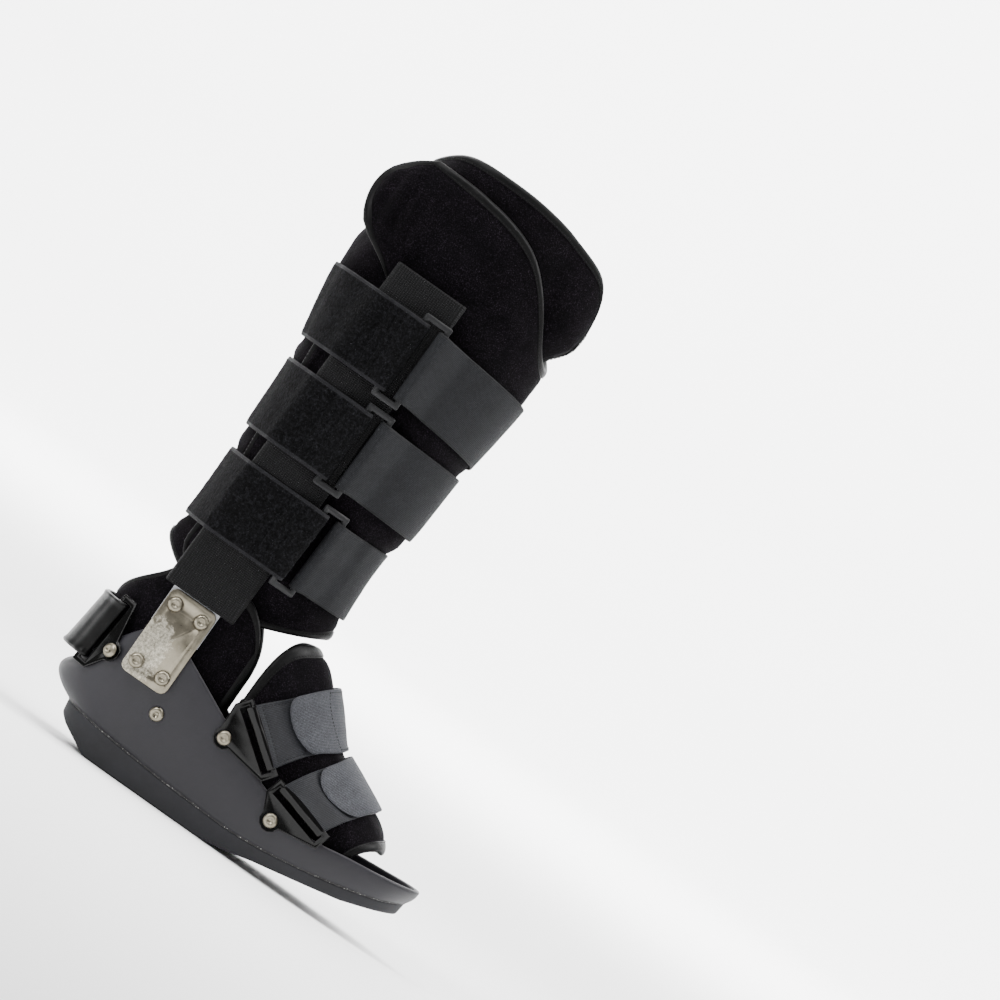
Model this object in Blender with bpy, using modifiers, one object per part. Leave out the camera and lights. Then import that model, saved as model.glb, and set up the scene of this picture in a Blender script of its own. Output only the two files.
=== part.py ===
"""Right ankle walker boot: a hard shell on a rocker sole, two riveted uprights and wrapped soft pads.

Metres, +Z up, +X towards the toe, the outer (lateral) side at -Y. The boot stands on Z = 0 and the
origin lies under the axis of the leg.
"""

import math

import bmesh
import bpy
from mathutils import Matrix, Vector

MM = 0.001

# Clearances between touching pieces.
CLEARANCE = 0.3 * MM
LAYER_GAP = 0.9 * MM
LOOSE_FIT = 0.6 * MM
STRAP_FIT = 1.8 * MM
FOOT_FIT = 1.2 * MM

# Hard foot shell and its sole.
SHELL_HEEL = -64 * MM
SHELL_TOE = 205.6 * MM
SEAM_HEEL = -52 * MM
SEAM_TOE = 201.6 * MM
SHELL_HEIGHT = 96 * MM
SHELL_HALF = 54.5 * MM
SHELL_WALL = 3 * MM
SHELL_SPINE = (-14 * MM, 154 * MM)
HEEL_SHARE = 0.16
FLOOR_MIDDLE = 72 * MM
FLOOR_PULL = 0.18
HEEL_BULGE = 11 * MM
SIDE_BULGE = 1.5 * MM
SEAM_HEIGHT = 39.2 * MM
SOLE_HEEL = -50.5 * MM
SOLE_TOE = 200.5 * MM
SOLE_INSET = 2.5 * MM
SOLE_RISE = 30 * MM
INSOLE_THICKNESS = 5 * MM
INSOLE_ROOM = 2 * MM
INSOLE_LENGTH = 0.965

# Soft leg wrap, one padded sheet wound once and a half round the leg.
LEG_TOP = 460 * MM
LEG_BACK = 64 * MM
LEG_FRONT = 69 * MM
LEG_HALF = SHELL_HALF + 0.5 * MM
LEG_WIDEST_X = -9 * MM
WRAP_THICKNESS = 6.2 * MM
LEG_SHIFT = (WRAP_THICKNESS + LAYER_GAP) / 2
EAR_LIFT = 20 * MM
EAR_ANGLES = (462, 498)
EAR_HEIGHTS = (0.780, 0.840)
EAR_TIP_HEIGHTS = (0.905, 0.963)
EAR_TIP_FALL = 0.45
CORNER_LIFT = 13 * MM
CORNER_ANGLES = (12, 50)
CORNER_HEIGHTS = (2 * MM, 24 * MM)
WRAP_START = 5
WRAP_STRAIGHT_END = 440
WRAP_FREE_END = 500
SECOND_TURN = (268, 352)

# Padded ankle collar.
ANKLE_TOP = 145 * MM
ANKLE_BACK = 53.4 * MM
ANKLE_FRONT = 75 * MM
ANKLE_HALF = SHELL_HALF - SHELL_WALL - 4.9 * MM
ANKLE_X = -13 * MM
ANKLE_THICKNESS = 5 * MM

# Padded instep cover.
INSTEP_THICKNESS = 6 * MM
INSTEP_HALF = SHELL_HALF - SHELL_WALL - 3 * MM
INSTEP_REAR = 41 * MM
INSTEP_FRONT = 174 * MM
INSTEP_TOP = 175 * MM
INSTEP_ARC = 21 * MM
INSTEP_HEM = 18 * MM
INSTEP_TUCK = 0.1

# Uprights, their sleeves and the plates that join them to the shell.
UPRIGHT_WIDTH = 35.5 * MM
UPRIGHT_THICKNESS = 3 * MM
UPRIGHT_X = -18.9 * MM
UPRIGHT_LEAN = 6.5 * MM
UPRIGHT_BOTTOM = 98.5 * MM
UPRIGHT_TOP = 366 * MM
UPRIGHT_BEND = 37.4 * MM
UPRIGHT_STRAIGHT = 150 * MM
UPRIGHT_ROOM = 1 * MM
PLATE_WIDTH = 34.7 * MM
PLATE_HEIGHT = 62.5 * MM
PLATE_BOTTOM = 61.5 * MM
PLATE_THICKNESS = 2 * MM
PLATE_CORNER = 5 * MM
PLATE_SEAT = SHELL_HALF - 2.2 * MM
PLATE_RIVET_X = 10.1 * MM
PLATE_RIVET_Z = 21.8 * MM
SLEEVE_WIDTH = 49 * MM
SLEEVE_THICKNESS = 7.6 * MM
SLEEVE_WALL = 1.6 * MM
SLEEVE_BOTTOM = PLATE_BOTTOM + PLATE_HEIGHT + LOOSE_FIT
SLEEVE_TOP = 376 * MM
SLEEVE_SHIFT = 1.2 * MM

# Straps, rings and tabs.
STRAP_WIDTH = 52 * MM
STRAP_THICKNESS = 2 * MM
TAB_WIDTH = 51 * MM
TAB_THICKNESS = 1.6 * MM
RING_WIDTH = 20.5 * MM
RING_HEIGHT = 63 * MM
RING_BAR = 4 * MM
RING_THICKNESS = 2.4 * MM
RING_CORNER = 1.2 * MM
BAR_CLEARANCE = 1.25 * MM
FOLD_START = 0.5 * MM
FOLD_TAIL = 14 * MM
LAP_STEP = 7 * MM
FOOT_BAR_HEIGHT = 7.5 * MM
FOOT_BAR_ANGLE = 86
FOOT_DROP = 0.5 * MM
FOOT_STRAP_SHARE = 0.6
FOOT_TAB_SHARE = 0.72
CHAFE_THICKNESS = 1.5 * MM
CHAFE_STANDOFF = 0.9 * MM
CHAFE_MARGIN = 5 * MM
CHAFE_SLOT = 6 * MM
CHAFE_APEX = 7.5 * MM
BAND_THICKNESS = 2 * MM
HEEL_BAND_LOW = 53 * MM
HEEL_BAND_WIDTH = 43 * MM
HEEL_BAND_BACK_LOW = 60.5 * MM
HEEL_BAND_BACK_TOP = 55.6 * MM
HEEL_BAND_HALF = SHELL_HALF + 0.5 * MM
HEEL_BAR_X = -60 * MM
HEEL_TRACK_START = 96
OUTLINE_STEP = 12

# Rivets.
RIVET_HEAD = 5 * MM
RIVET_DOME = 2.2 * MM
RIVET_SHANK = 2.2 * MM
RIVET_TAIL = 1.2 * MM
RIVET_SIDES = 8
RIVET_TAIL_RADIUS = 3.2 * MM
DRILL_DEPTH = 16 * MM
DRILL_SIDES = 8
SHELL_RIVET = (1.3 * MM, 50 * MM)
HEEL_RIVET = (-45.2 * MM, 66.3 * MM)

# Leg wrap sections: height, back, front, half width, as shares of the sizes above.
LEG_SECTIONS = (
    (0.283, 0.630, 0.550, 0.530),
    (0.326, 0.850, 0.740, 0.555),
    (0.359, 0.790, 0.700, 0.670),
    (0.467, 0.775, 0.690, 0.745),
    (0.515, 0.800, 0.790, 0.785),
    (0.624, 0.825, 0.840, 0.870),
    (0.750, 0.970, 0.945, 0.945),
    (0.826, 1.000, 0.985, 0.980),
    (0.913, 0.920, 1.000, 1.000),
    (1.000, 0.720, 0.910, 0.980),
)

# Edges of the leg wrap along its winding: angle in degrees, bottom, top, as shares of LEG_TOP.
WRAP_EDGES = (
    (5, 0.326, 0.860),
    (15, 0.324, 0.945),
    (25, 0.318, 0.968),
    (40, 0.305, 0.982),
    (60, 0.285, 0.993),
    (85, 0.283, 1.000),
    (130, 0.287, 0.995),
    (180, 0.322, 0.965),
    (230, 0.287, 0.995),
    (265, 0.283, 0.990),
    (290, 0.283, 0.950),
    (315, 0.300, 0.885),
    (340, 0.322, 0.830),
    (360, 0.326, 0.813),
    (375, 0.324, 0.815),
    (390, 0.314, 0.835),
    (405, 0.300, 0.880),
    (424, 0.285, 0.932),
    (447, 0.283, 0.957),
    (470, 0.283, 0.963),
    (510, 0.283, 0.963),
)

# Free end of the wrap: share of the height between its edges, angle in degrees.
WRAP_END = (
    (0.00, 478),
    (0.03, 488),
    (0.08, 495),
    (0.15, 497),
    (0.55, 497),
    (0.64, 490),
    (0.73, 472),
    (0.77, 482),
    (0.82, 497),
    (0.89, 506),
    (0.95, 502),
    (1.00, 490),
)
WRAP_ROWS = (0, 0.025, 0.06, 0.106, 0.257, 0.324, 0.475, 0.65, 0.757, 0.81, 0.87, 0.94, 1)

# Foot plan: share of the length from the heel, half width at the rim, at the seam.
FOOT_PLAN = (
    (0.000, 0.000, 0.000),
    (0.005, 0.230, 0.170),
    (0.020, 0.460, 0.340),
    (0.045, 0.690, 0.500),
    (0.080, 0.840, 0.640),
    (0.120, 0.925, 0.730),
    (0.170, 0.950, 0.790),
    (0.230, 0.953, 0.820),
    (0.300, 0.953, 0.845),
    (0.380, 0.953, 0.865),
    (0.460, 0.958, 0.888),
    (0.550, 0.975, 0.912),
    (0.640, 0.993, 0.935),
    (0.720, 1.000, 0.940),
    (0.800, 0.960, 0.895),
    (0.870, 0.870, 0.800),
    (0.930, 0.710, 0.650),
    (0.970, 0.500, 0.460),
    (0.993, 0.250, 0.230),
    (1.000, 0.000, 0.000),
)

# Rim of the shell: share of its length, share of its height.
SHELL_RIM = (
    (0.000, 0.510),
    (0.008, 0.530),
    (0.030, 0.640),
    (0.070, 0.830),
    (0.110, 0.960),
    (0.160, 1.000),
    (0.210, 0.985),
    (0.240, 0.947),
    (0.380, 0.760),
    (0.487, 0.610),
    (0.584, 0.510),
    (0.694, 0.437),
    (0.820, 0.475),
    (0.900, 0.497),
    (1.000, 0.532),
)

# Seam between shell and sole: share of the length, share of SEAM_HEIGHT.
SEAM_LINE = (
    (0.000, 0.615),
    (0.120, 0.530),
    (0.295, 0.446),
    (0.390, 0.421),
    (0.560, 0.416),
    (0.750, 0.582),
    (0.925, 0.827),
    (1.000, 1.000),
)

# Rocker under the sole: share of its length, share of SOLE_RISE.
SOLE_LINE = (
    (0.000, 0.480),
    (0.020, 0.360),
    (0.110, 0.000),
    (0.465, 0.000),
    (0.535, 0.080),
    (0.618, 0.250),
    (0.745, 0.450),
    (0.860, 0.633),
    (0.950, 0.860),
    (1.000, 1.000),
)

# Instep cover: share of its length, half width, side height, top height.
INSTEP_SECTIONS = (
    (0.000, 0.965, 0.500, 0.970),
    (0.070, 0.970, 0.460, 0.903),
    (0.160, 0.975, 0.405, 0.823),
    (0.255, 0.985, 0.350, 0.774),
    (0.345, 1.000, 0.315, 0.711),
    (0.445, 1.000, 0.290, 0.626),
    (0.525, 1.000, 0.270, 0.556),
    (0.670, 1.000, 0.255, 0.500),
    (0.850, 0.970, 0.255, 0.431),
    (0.950, 0.920, 0.255, 0.377),
    (1.000, 0.880, 0.255, 0.332),
)

INSTEP_COLUMNS = [0, 15, 30, 44, 57, 69, 80, 90, 105, 120]
INSTEP_ROWS = (0, 0.07, 0.16, 0.26, 0.37, 0.49, 0.62, 0.76, 0.9, 1)

# Ankle collar: share of ANKLE_TOP, back reach, half width.
ANKLE_SECTIONS = (
    (0.230, 0.660, 0.780),
    (0.340, 0.870, 0.880),
    (0.520, 0.965, 0.955),
    (0.710, 1.000, 1.000),
    (0.880, 0.930, 1.000),
    (1.000, 0.900, 1.000),
)

# Top edge of the ankle collar: angle in degrees from the toe, share of ANKLE_TOP.
ANKLE_EDGE = (
    (51.5, 0.683),
    (54.0, 0.786),
    (59.5, 0.876),
    (66.5, 0.945),
    (76.0, 0.995),
    (95.0, 1.000),
    (115.0, 0.990),
    (133.0, 0.883),
    (155.0, 0.793),
    (180.0, 0.710),
)
ANKLE_COLUMNS = [51.5, 54, 59.5, 66.5, 76, 85, 95, 105, 115, 124, 133, 144, 155, 167, 180]

# How square the ovals are: 2 is an ellipse.
OVAL_POWER = 2.3

# Half section of a sleeve: share of the half width, share of the half thickness.
SLEEVE_SECTION = (
    (-1.00, -0.50),
    (-0.86, -1.00),
    (0.86, -1.00),
    (1.00, -0.50),
    (1.00, 0.50),
    (0.86, 1.00),
    (-0.86, 1.00),
    (-1.00, 0.50),
)

# Columns of a strap that follow a corner of the sleeve: angle, corner of the section.
CORNER_COLUMNS = {71: 4, 76: 5, 107: 6, 112: 7}
STRAP_COLUMNS = [0, 12, 24, 36, 48, 60, 71, 76, 91, 107, 112, 120, 132, 144, 156, 168, 180]

# Calf straps: name, middle height, x of the ring's rear bar, lengths from the bar to the ends of
# the strap and of the tab, fall of the tab for each metre along.
CALF_STRAPS = (
    ("top", 328 * MM, -3 * MM, 300 * MM, 165 * MM, 0.09),
    ("mid", 260.5 * MM, -0.5 * MM, 275 * MM, 155 * MM, 0.03),
    ("bottom", 191.5 * MM, 12 * MM, 255 * MM, 130 * MM, 0.0),
)

# Foot straps: name, x of the rear edge at the side and on top, x of the front edge at the side and
# on top, x and height of the rivet.
FOOT_STRAPS = (
    ("rear", (45 * MM, 85 * MM), (80 * MM, 113 * MM), (45.6 * MM, 62.5 * MM)),
    ("front", (92 * MM, 117 * MM), (129.5 * MM, 153 * MM), (100.0 * MM, 36.4 * MM)),
)
FOOT_ANGLES = [-110, -100, -92, -84, -76, -66, -54, -40, -26, -13]
FOOT_ANGLES += [0] + [-angle for angle in reversed(FOOT_ANGLES)]


def ease(value, low, high):
    """0 below low, 1 above high, and a smooth rise between."""
    share = min(max((value - low) / (high - low), 0.0), 1.0)
    return share * share * (3 - 2 * share)


def mix(low, high, share):
    return low + (high - low) * share


def row_at(table, key):
    """The values of a table at this value of its first column, straight between its rows."""
    key = min(max(key, table[0][0]), table[-1][0])
    index = max(i for i in range(len(table) - 1) if table[i][0] <= key)
    low, high = table[index], table[index + 1]
    share = (key - low[0]) / (high[0] - low[0])
    return [mix(a, b, share) for a, b in zip(low[1:], high[1:])]


def curve_at(table, key):
    """The values of a table at this value of its first column, on a smooth curve through its rows."""
    key = min(max(key, table[0][0]), table[-1][0])
    index = max(i for i in range(len(table) - 1) if table[i][0] <= key)
    before, low, high, after = (
        table[min(max(i, 0), len(table) - 1)] for i in range(index - 1, index + 3)
    )
    span = high[0] - low[0]
    t = (key - low[0]) / span
    values = []
    for column in range(1, len(low)):
        rise_low = (high[column] - before[column]) / (high[0] - before[0]) * span
        rise_high = (after[column] - low[column]) / (after[0] - low[0]) * span
        values.append(
            (2 * t**3 - 3 * t**2 + 1) * low[column]
            + (t**3 - 2 * t**2 + t) * rise_low
            + (3 * t**2 - 2 * t**3) * high[column]
            + (t**3 - t**2) * rise_high
        )
    return values


def signed_power(value, power):
    return math.copysign(abs(value) ** power, value)


def oval(middle, back, front, half, angle, out):
    """A point out metres outside an oval round middle. Angle 0 looks to the toe, 90 to -Y."""
    turn = math.radians(angle)
    reach = front if math.cos(turn) > 0 else back
    along = signed_power(math.cos(turn), 2 / OVAL_POWER)
    across = signed_power(math.sin(turn), 2 / OVAL_POWER)
    lean = Vector(
        (
            signed_power(math.cos(turn), 2 - 2 / OVAL_POWER) / reach,
            -signed_power(math.sin(turn), 2 - 2 / OVAL_POWER) / half,
        )
    ).normalized()
    return Vector(middle) + Vector((reach * along, -half * across)) + lean * out


def new_material(name, colour, roughness, metallic=0.0):
    material = bpy.data.materials.new(name)
    material.use_nodes = True
    shader = material.node_tree.nodes["Principled BSDF"]
    shader.inputs["Base Color"].default_value = (*colour, 1)
    shader.inputs["Roughness"].default_value = roughness
    shader.inputs["Metallic"].default_value = metallic
    return material


def new_object(name, data, material, collection):
    obj = bpy.data.objects.new(name, data)
    data.materials.append(material)
    collection.objects.link(obj)
    return obj


def mapped_sheet(name, columns, rows, place, material, thickness=0.0, side=-1.0):
    """A grid mapped by place(column share, row share), thickened to the side given: 1, 0 or -1."""
    bm = bmesh.new()
    bmesh.ops.create_grid(bm, x_segments=len(columns) - 1, y_segments=len(rows) - 1, size=0.5)
    for vertex in bm.verts:
        column = round((vertex.co.x + 0.5) * (len(columns) - 1))
        row = round((vertex.co.y + 0.5) * (len(rows) - 1))
        vertex.co = place(columns[column], rows[row])
    mesh = bpy.data.meshes.new(name)
    bm.to_mesh(mesh)
    bm.free()
    mesh.shade_smooth()
    obj = new_object(name, mesh, material, boot)
    if thickness:
        solidify = obj.modifiers.new("Thickness", "SOLIDIFY")
        solidify.thickness = thickness
        solidify.offset = side
        solidify.use_even_offset = True
    return obj


def mirror_across(obj):
    """Both halves of a piece that is open at Y = 0, welded there."""
    mirror = obj.modifiers.new("Other half", "MIRROR")
    mirror.use_axis = (False, True, False)
    mirror.merge_threshold = 0.05 * MM
    obj.modifiers.move(len(obj.modifiers) - 1, 0)
    return obj


def steps(low, high, count):
    return [mix(low, high, i / count) for i in range(count + 1)]


def leg_section(height):
    back, front, half = curve_at(LEG_SECTIONS, height / LEG_TOP)
    return (
        back * LEG_BACK + LEG_WIDEST_X,
        front * LEG_FRONT - LEG_WIDEST_X,
        half * LEG_HALF,
    )


def leg_point(angle, height, out):
    """A point out metres outside the hollow for the leg."""
    back, front, half = leg_section(height)
    flat = oval((LEG_WIDEST_X, LEG_SHIFT), back, front, half, angle, out)
    return Vector((flat.x, flat.y, height))


def wrap_drift(angle):
    """How far the second turn of the wrap lies outside the first."""
    return (WRAP_THICKNESS + LAYER_GAP) * ease(angle, *SECOND_TURN)


def wrap_edges(angle):
    bottom, top = curve_at(WRAP_EDGES, angle)
    return bottom * LEG_TOP, top * LEG_TOP


def wrap_lift(angle, height):
    """How far the free ear and the free front corner stand off the leg."""
    ear = ease(angle, *EAR_ANGLES) * ease(height / LEG_TOP, *EAR_HEIGHTS)
    ear *= 1 - EAR_TIP_FALL * ease(height / LEG_TOP, *EAR_TIP_HEIGHTS)
    above_outer_turn = height - wrap_edges(angle + 360)[1]
    corner = 1 - ease(angle, *CORNER_ANGLES)
    corner *= ease(above_outer_turn, *CORNER_HEIGHTS)
    return EAR_LIFT * ear + CORNER_LIFT * corner


def wrap_place(column, row):
    end = curve_at(WRAP_END, row)[0]
    angle = column
    if column > WRAP_STRAIGHT_END:
        share = (column - WRAP_STRAIGHT_END) / (WRAP_FREE_END - WRAP_STRAIGHT_END)
        angle = mix(WRAP_STRAIGHT_END, end, share)
    bottom, top = wrap_edges(angle)
    height = mix(bottom, top, row)
    return leg_point(angle, height, wrap_drift(angle) + wrap_lift(angle, height))


def make_leg_wrap():
    columns = [WRAP_START, *steps(12, 432, 32), WRAP_STRAIGHT_END]
    columns += [452, 464, 474, 483, 491, WRAP_FREE_END]
    return mapped_sheet(
        "leg_wrap", columns, WRAP_ROWS, wrap_place, liner, WRAP_THICKNESS
    )


def ankle_place(column, row):
    angle = column if column <= 180 else 360 - column
    top = row_at(ANKLE_EDGE, angle)[0] * ANKLE_TOP
    height = mix(ANKLE_SECTIONS[0][0] * ANKLE_TOP, top, row)
    back, half = curve_at(ANKLE_SECTIONS, height / ANKLE_TOP)
    flat = oval((ANKLE_X, 0), back * ANKLE_BACK, ANKLE_FRONT, half * ANKLE_HALF, column, 0)
    return Vector((flat.x, flat.y, height))


def make_ankle_wrap():
    columns = ANKLE_COLUMNS + [360 - angle for angle in reversed(ANKLE_COLUMNS[:-1])]
    return mapped_sheet(
        "ankle_wrap", columns, steps(0, 1, 6), ankle_place, liner, ANKLE_THICKNESS, 1
    )


def plan_point(share, heel, toe, side):
    along = mix(heel, toe, share)
    return Vector((along, -side * SHELL_HALF))


def seam_height(x):
    return row_at(SEAM_LINE, (x - SEAM_HEEL) / (SEAM_TOE - SEAM_HEEL))[0] * SEAM_HEIGHT


def floor_middle(edge_x, share):
    """Where the middle line lies for a column of a floor, drawn in from the ends of the foot."""
    return mix(edge_x, FLOOR_MIDDLE, FLOOR_PULL * (1 - 2 * min(share, 1 - share)))


def shell_wall(share, level):
    """A point on the outer face of the shell's lateral wall: level 0 at the seam, 1 at the rim."""
    rim_side, seam_side = row_at(FOOT_PLAN, share)
    seam = plan_point(share, SEAM_HEEL, SEAM_TOE, seam_side)
    rim = plan_point(share, SHELL_HEEL, SHELL_TOE, rim_side)
    rim_height = curve_at(SHELL_RIM, share)[0] * SHELL_HEIGHT
    flat = seam.lerp(rim, level)
    backwards = 1 - ease(share, 0.0, HEEL_SHARE)
    bulge = mix(SIDE_BULGE, HEEL_BULGE, backwards) * 4 * level * (1 - level)
    spine = min(max(flat.x, SHELL_SPINE[0]), SHELL_SPINE[1])
    outward = Vector((flat.x - spine, flat.y))
    if outward.length:
        flat += outward.normalized() * bulge
    return Vector((flat.x, flat.y, mix(seam_height(seam.x), rim_height, level)))


def shell_place(column, row):
    """Rows below 0 run over the floor from its middle, rows above 0 run up the wall."""
    if row >= 0:
        return shell_wall(column, row)
    edge = shell_wall(column, 0)
    middle_x = floor_middle(edge.x, column)
    middle = Vector((middle_x, 0, seam_height(middle_x)))
    return edge.lerp(middle, -row)


def make_shell():
    columns = [row[0] for row in FOOT_PLAN]
    rows = [-1, -0.5, 0, 0.3, 0.62, 1]
    shell = mapped_sheet("shell", columns, rows, shell_place, shell_plastic, SHELL_WALL)
    mirror_across(shell)
    drill(shell, [spot for spot in rivet_frames if "high" not in spot[0]])


def sole_place(column, row):
    """Once round a section: top middle, top edge, bottom edge, bottom middle."""
    seam_side = row_at(FOOT_PLAN, column)[1]
    top = plan_point(column, SEAM_HEEL, SEAM_TOE, seam_side)
    top_edge = Vector((top.x, top.y, seam_height(top.x) - CLEARANCE))
    low = plan_point(column, SOLE_HEEL, SOLE_TOE, seam_side)
    inset = max(0.0, 1 - SOLE_INSET / SHELL_HALF)
    low_edge = Vector((low.x, low.y * inset, row_at(SOLE_LINE, column)[0] * SOLE_RISE))
    if row == 0:
        middle_x = floor_middle(top.x, column)
        return Vector((middle_x, 0, seam_height(middle_x) - CLEARANCE))
    if row == 3:
        middle_x = floor_middle(low.x, column)
        share = (middle_x - SOLE_HEEL) / (SOLE_TOE - SOLE_HEEL)
        return Vector((middle_x, 0, row_at(SOLE_LINE, share)[0] * SOLE_RISE))
    return top_edge if row == 1 else low_edge


def make_sole():
    columns = sorted({row[0] for row in FOOT_PLAN} | {0.465}, reverse=True)
    sole = mapped_sheet("outsole", columns, [0, 1, 2, 3], sole_place, sole_rubber)
    return mirror_across(sole)


def insole_place(column, row):
    inner = shell_wall(column, 0)
    scale = 1 - (SHELL_WALL + INSOLE_ROOM) / SHELL_HALF
    edge = Vector((mix(FLOOR_MIDDLE, inner.x, INSOLE_LENGTH), inner.y * scale))
    low = seam_height(edge.x) + SHELL_WALL + CLEARANCE * 2
    middle_x = floor_middle(edge.x, column)
    low_middle = seam_height(middle_x) + SHELL_WALL + CLEARANCE * 2
    if row in (0, 3):
        lift = 0 if row == 3 else INSOLE_THICKNESS
        return Vector((middle_x, 0, low_middle + lift))
    lift = 0 if row == 2 else INSOLE_THICKNESS
    return Vector((edge.x, edge.y, low + lift))


def make_insole():
    columns = [row[0] for row in reversed(FOOT_PLAN)]
    insole = mapped_sheet("insole", columns, [0, 1, 2, 3], insole_place, foam)
    return mirror_across(insole)


def instep_section(x):
    share = (x - INSTEP_REAR) / (INSTEP_FRONT - INSTEP_REAR)
    half, side, top = curve_at(INSTEP_SECTIONS, share)
    return half * INSTEP_HALF, side * INSTEP_TOP, top * INSTEP_TOP


def instep_point(x, angle):
    """A point on the outer face of the instep cover: angle 0 on top, 90 at the lateral side.

    Past 90 the wall runs down into the shell, a millimetre for each degree.
    """
    half, side, top = instep_section(x)
    turn = math.radians(min(max(angle, -90), 90))
    across = half * signed_power(math.sin(turn), 2 / OVAL_POWER)
    height = mix(side, top, abs(math.cos(turn)) ** (2 / OVAL_POWER))
    below = max(abs(angle) - 90, 0) * MM
    across *= 1 - INSTEP_TUCK * ease(below, 0, side)
    return Vector((x, -across, height - below))


def instep_place(column, row):
    cosine = max(math.cos(math.radians(column)), 0)
    rear = INSTEP_REAR + INSTEP_ARC * cosine**1.2
    front = INSTEP_FRONT - INSTEP_HEM * (1 - cosine)
    x = mix(rear, front, row)
    if abs(column) > 90:
        half, side, top = instep_section(x)
        floor = seam_height(x) + SHELL_WALL + INSOLE_THICKNESS + INSOLE_ROOM
        reach = 90 + (side - floor) / MM * (abs(column) - 90) / (INSTEP_COLUMNS[-1] - 90)
        return instep_point(x, math.copysign(reach, column))
    return instep_point(x, column)


def make_instep_wrap():
    columns = [-angle for angle in reversed(INSTEP_COLUMNS[1:])] + INSTEP_COLUMNS
    return mapped_sheet(
        "instep_wrap", columns, INSTEP_ROWS, instep_place, liner, INSTEP_THICKNESS
    )


def outer_face(height):
    """How far the wrap's outer face lies from the middle plane beside the leg."""
    return leg_section(height)[2] + WRAP_THICKNESS + LEG_SHIFT


def upright_y(height):
    """Middle of an upright: riveted inside its plate, and clear of the wrap higher up."""
    seat = PLATE_SEAT - CLEARANCE - UPRIGHT_THICKNESS / 2
    bend = ease(height, SLEEVE_BOTTOM, SLEEVE_BOTTOM + UPRIGHT_BEND)
    return max(seat, outer_face(height) + (SLEEVE_THICKNESS / 2 + UPRIGHT_ROOM) * bend)


def upright_x(height):
    share = (height - SLEEVE_BOTTOM) / (UPRIGHT_TOP - SLEEVE_BOTTOM)
    return UPRIGHT_X + UPRIGHT_LEAN * max(share, 0)


def make_upright(name, side):
    def place(column, row):
        x = upright_x(row) + column * UPRIGHT_WIDTH / 2
        return Vector((x, side * upright_y(row), row))

    heights = [UPRIGHT_BOTTOM, SLEEVE_BOTTOM, *steps(UPRIGHT_STRAIGHT, UPRIGHT_TOP, 6)]
    upright = mapped_sheet(name, [-1, 1], heights, place, aluminium, UPRIGHT_THICKNESS, 0)
    side_name = name.split("_")[1]
    high = [spot for spot in rivet_frames if spot[0].endswith("high")]
    drill(upright, [spot for spot in high if side_name in spot[0]])


def sleeve_corner(height, side, corner):
    along, across = SLEEVE_SECTION[corner % len(SLEEVE_SECTION)]
    x = upright_x(height) + SLEEVE_SHIFT + along * SLEEVE_WIDTH / 2
    return Vector((x, side * (upright_y(height) + across * SLEEVE_THICKNESS / 2), height))


def make_sleeve(name, side):
    heights = [SLEEVE_BOTTOM, *steps(UPRIGHT_STRAIGHT, SLEEVE_TOP, 7)]

    def place(column, row):
        return sleeve_corner(row, side, round(column))

    columns = list(range(len(SLEEVE_SECTION) + 1))
    sleeve = mapped_sheet(name, columns, heights, place, webbing)
    bm = bmesh.new()
    bm.from_mesh(sleeve.data)
    bmesh.ops.remove_doubles(bm, verts=bm.verts, dist=0.01 * MM)
    bm.to_mesh(sleeve.data)
    bm.free()
    solidify = sleeve.modifiers.new("Thickness", "SOLIDIFY")
    solidify.thickness = SLEEVE_WALL
    solidify.offset = -side
    solidify.use_even_offset = True
    return sleeve


def hull_of(points):
    """The corners of the smallest convex outline round flat points, in order."""
    points = sorted((p.x, p.y) for p in points)
    halves = []
    for ordered in (points, points[::-1]):
        chain = []
        for p in ordered:
            while len(chain) > 1 and cross_of(chain[-2], chain[-1], p) <= 0:
                chain.pop()
            chain.append(p)
        halves.append(chain[:-1])
    return [Vector(p) for p in halves[0] + halves[1]]


def cross_of(a, b, c):
    return (b[0] - a[0]) * (c[1] - a[1]) - (b[1] - a[1]) * (c[0] - a[0])


def reach_of(hull, heading):
    """Distance from the leg's middle to the outline in this heading."""
    best = 0.0
    middle = Vector((LEG_WIDEST_X, 0))
    for a, b in zip(hull, hull[1:] + hull[:1]):
        edge = b - a
        bottom = heading.x * edge.y - heading.y * edge.x
        if abs(bottom) < 1e-12:
            continue
        to_a = a - middle
        distance = (to_a.x * edge.y - to_a.y * edge.x) / bottom
        share = (to_a.x * heading.y - to_a.y * heading.x) / bottom
        if distance > 0 and -1e-5 <= share <= 1 + 1e-5:
            best = max(best, distance)
    return best


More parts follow.
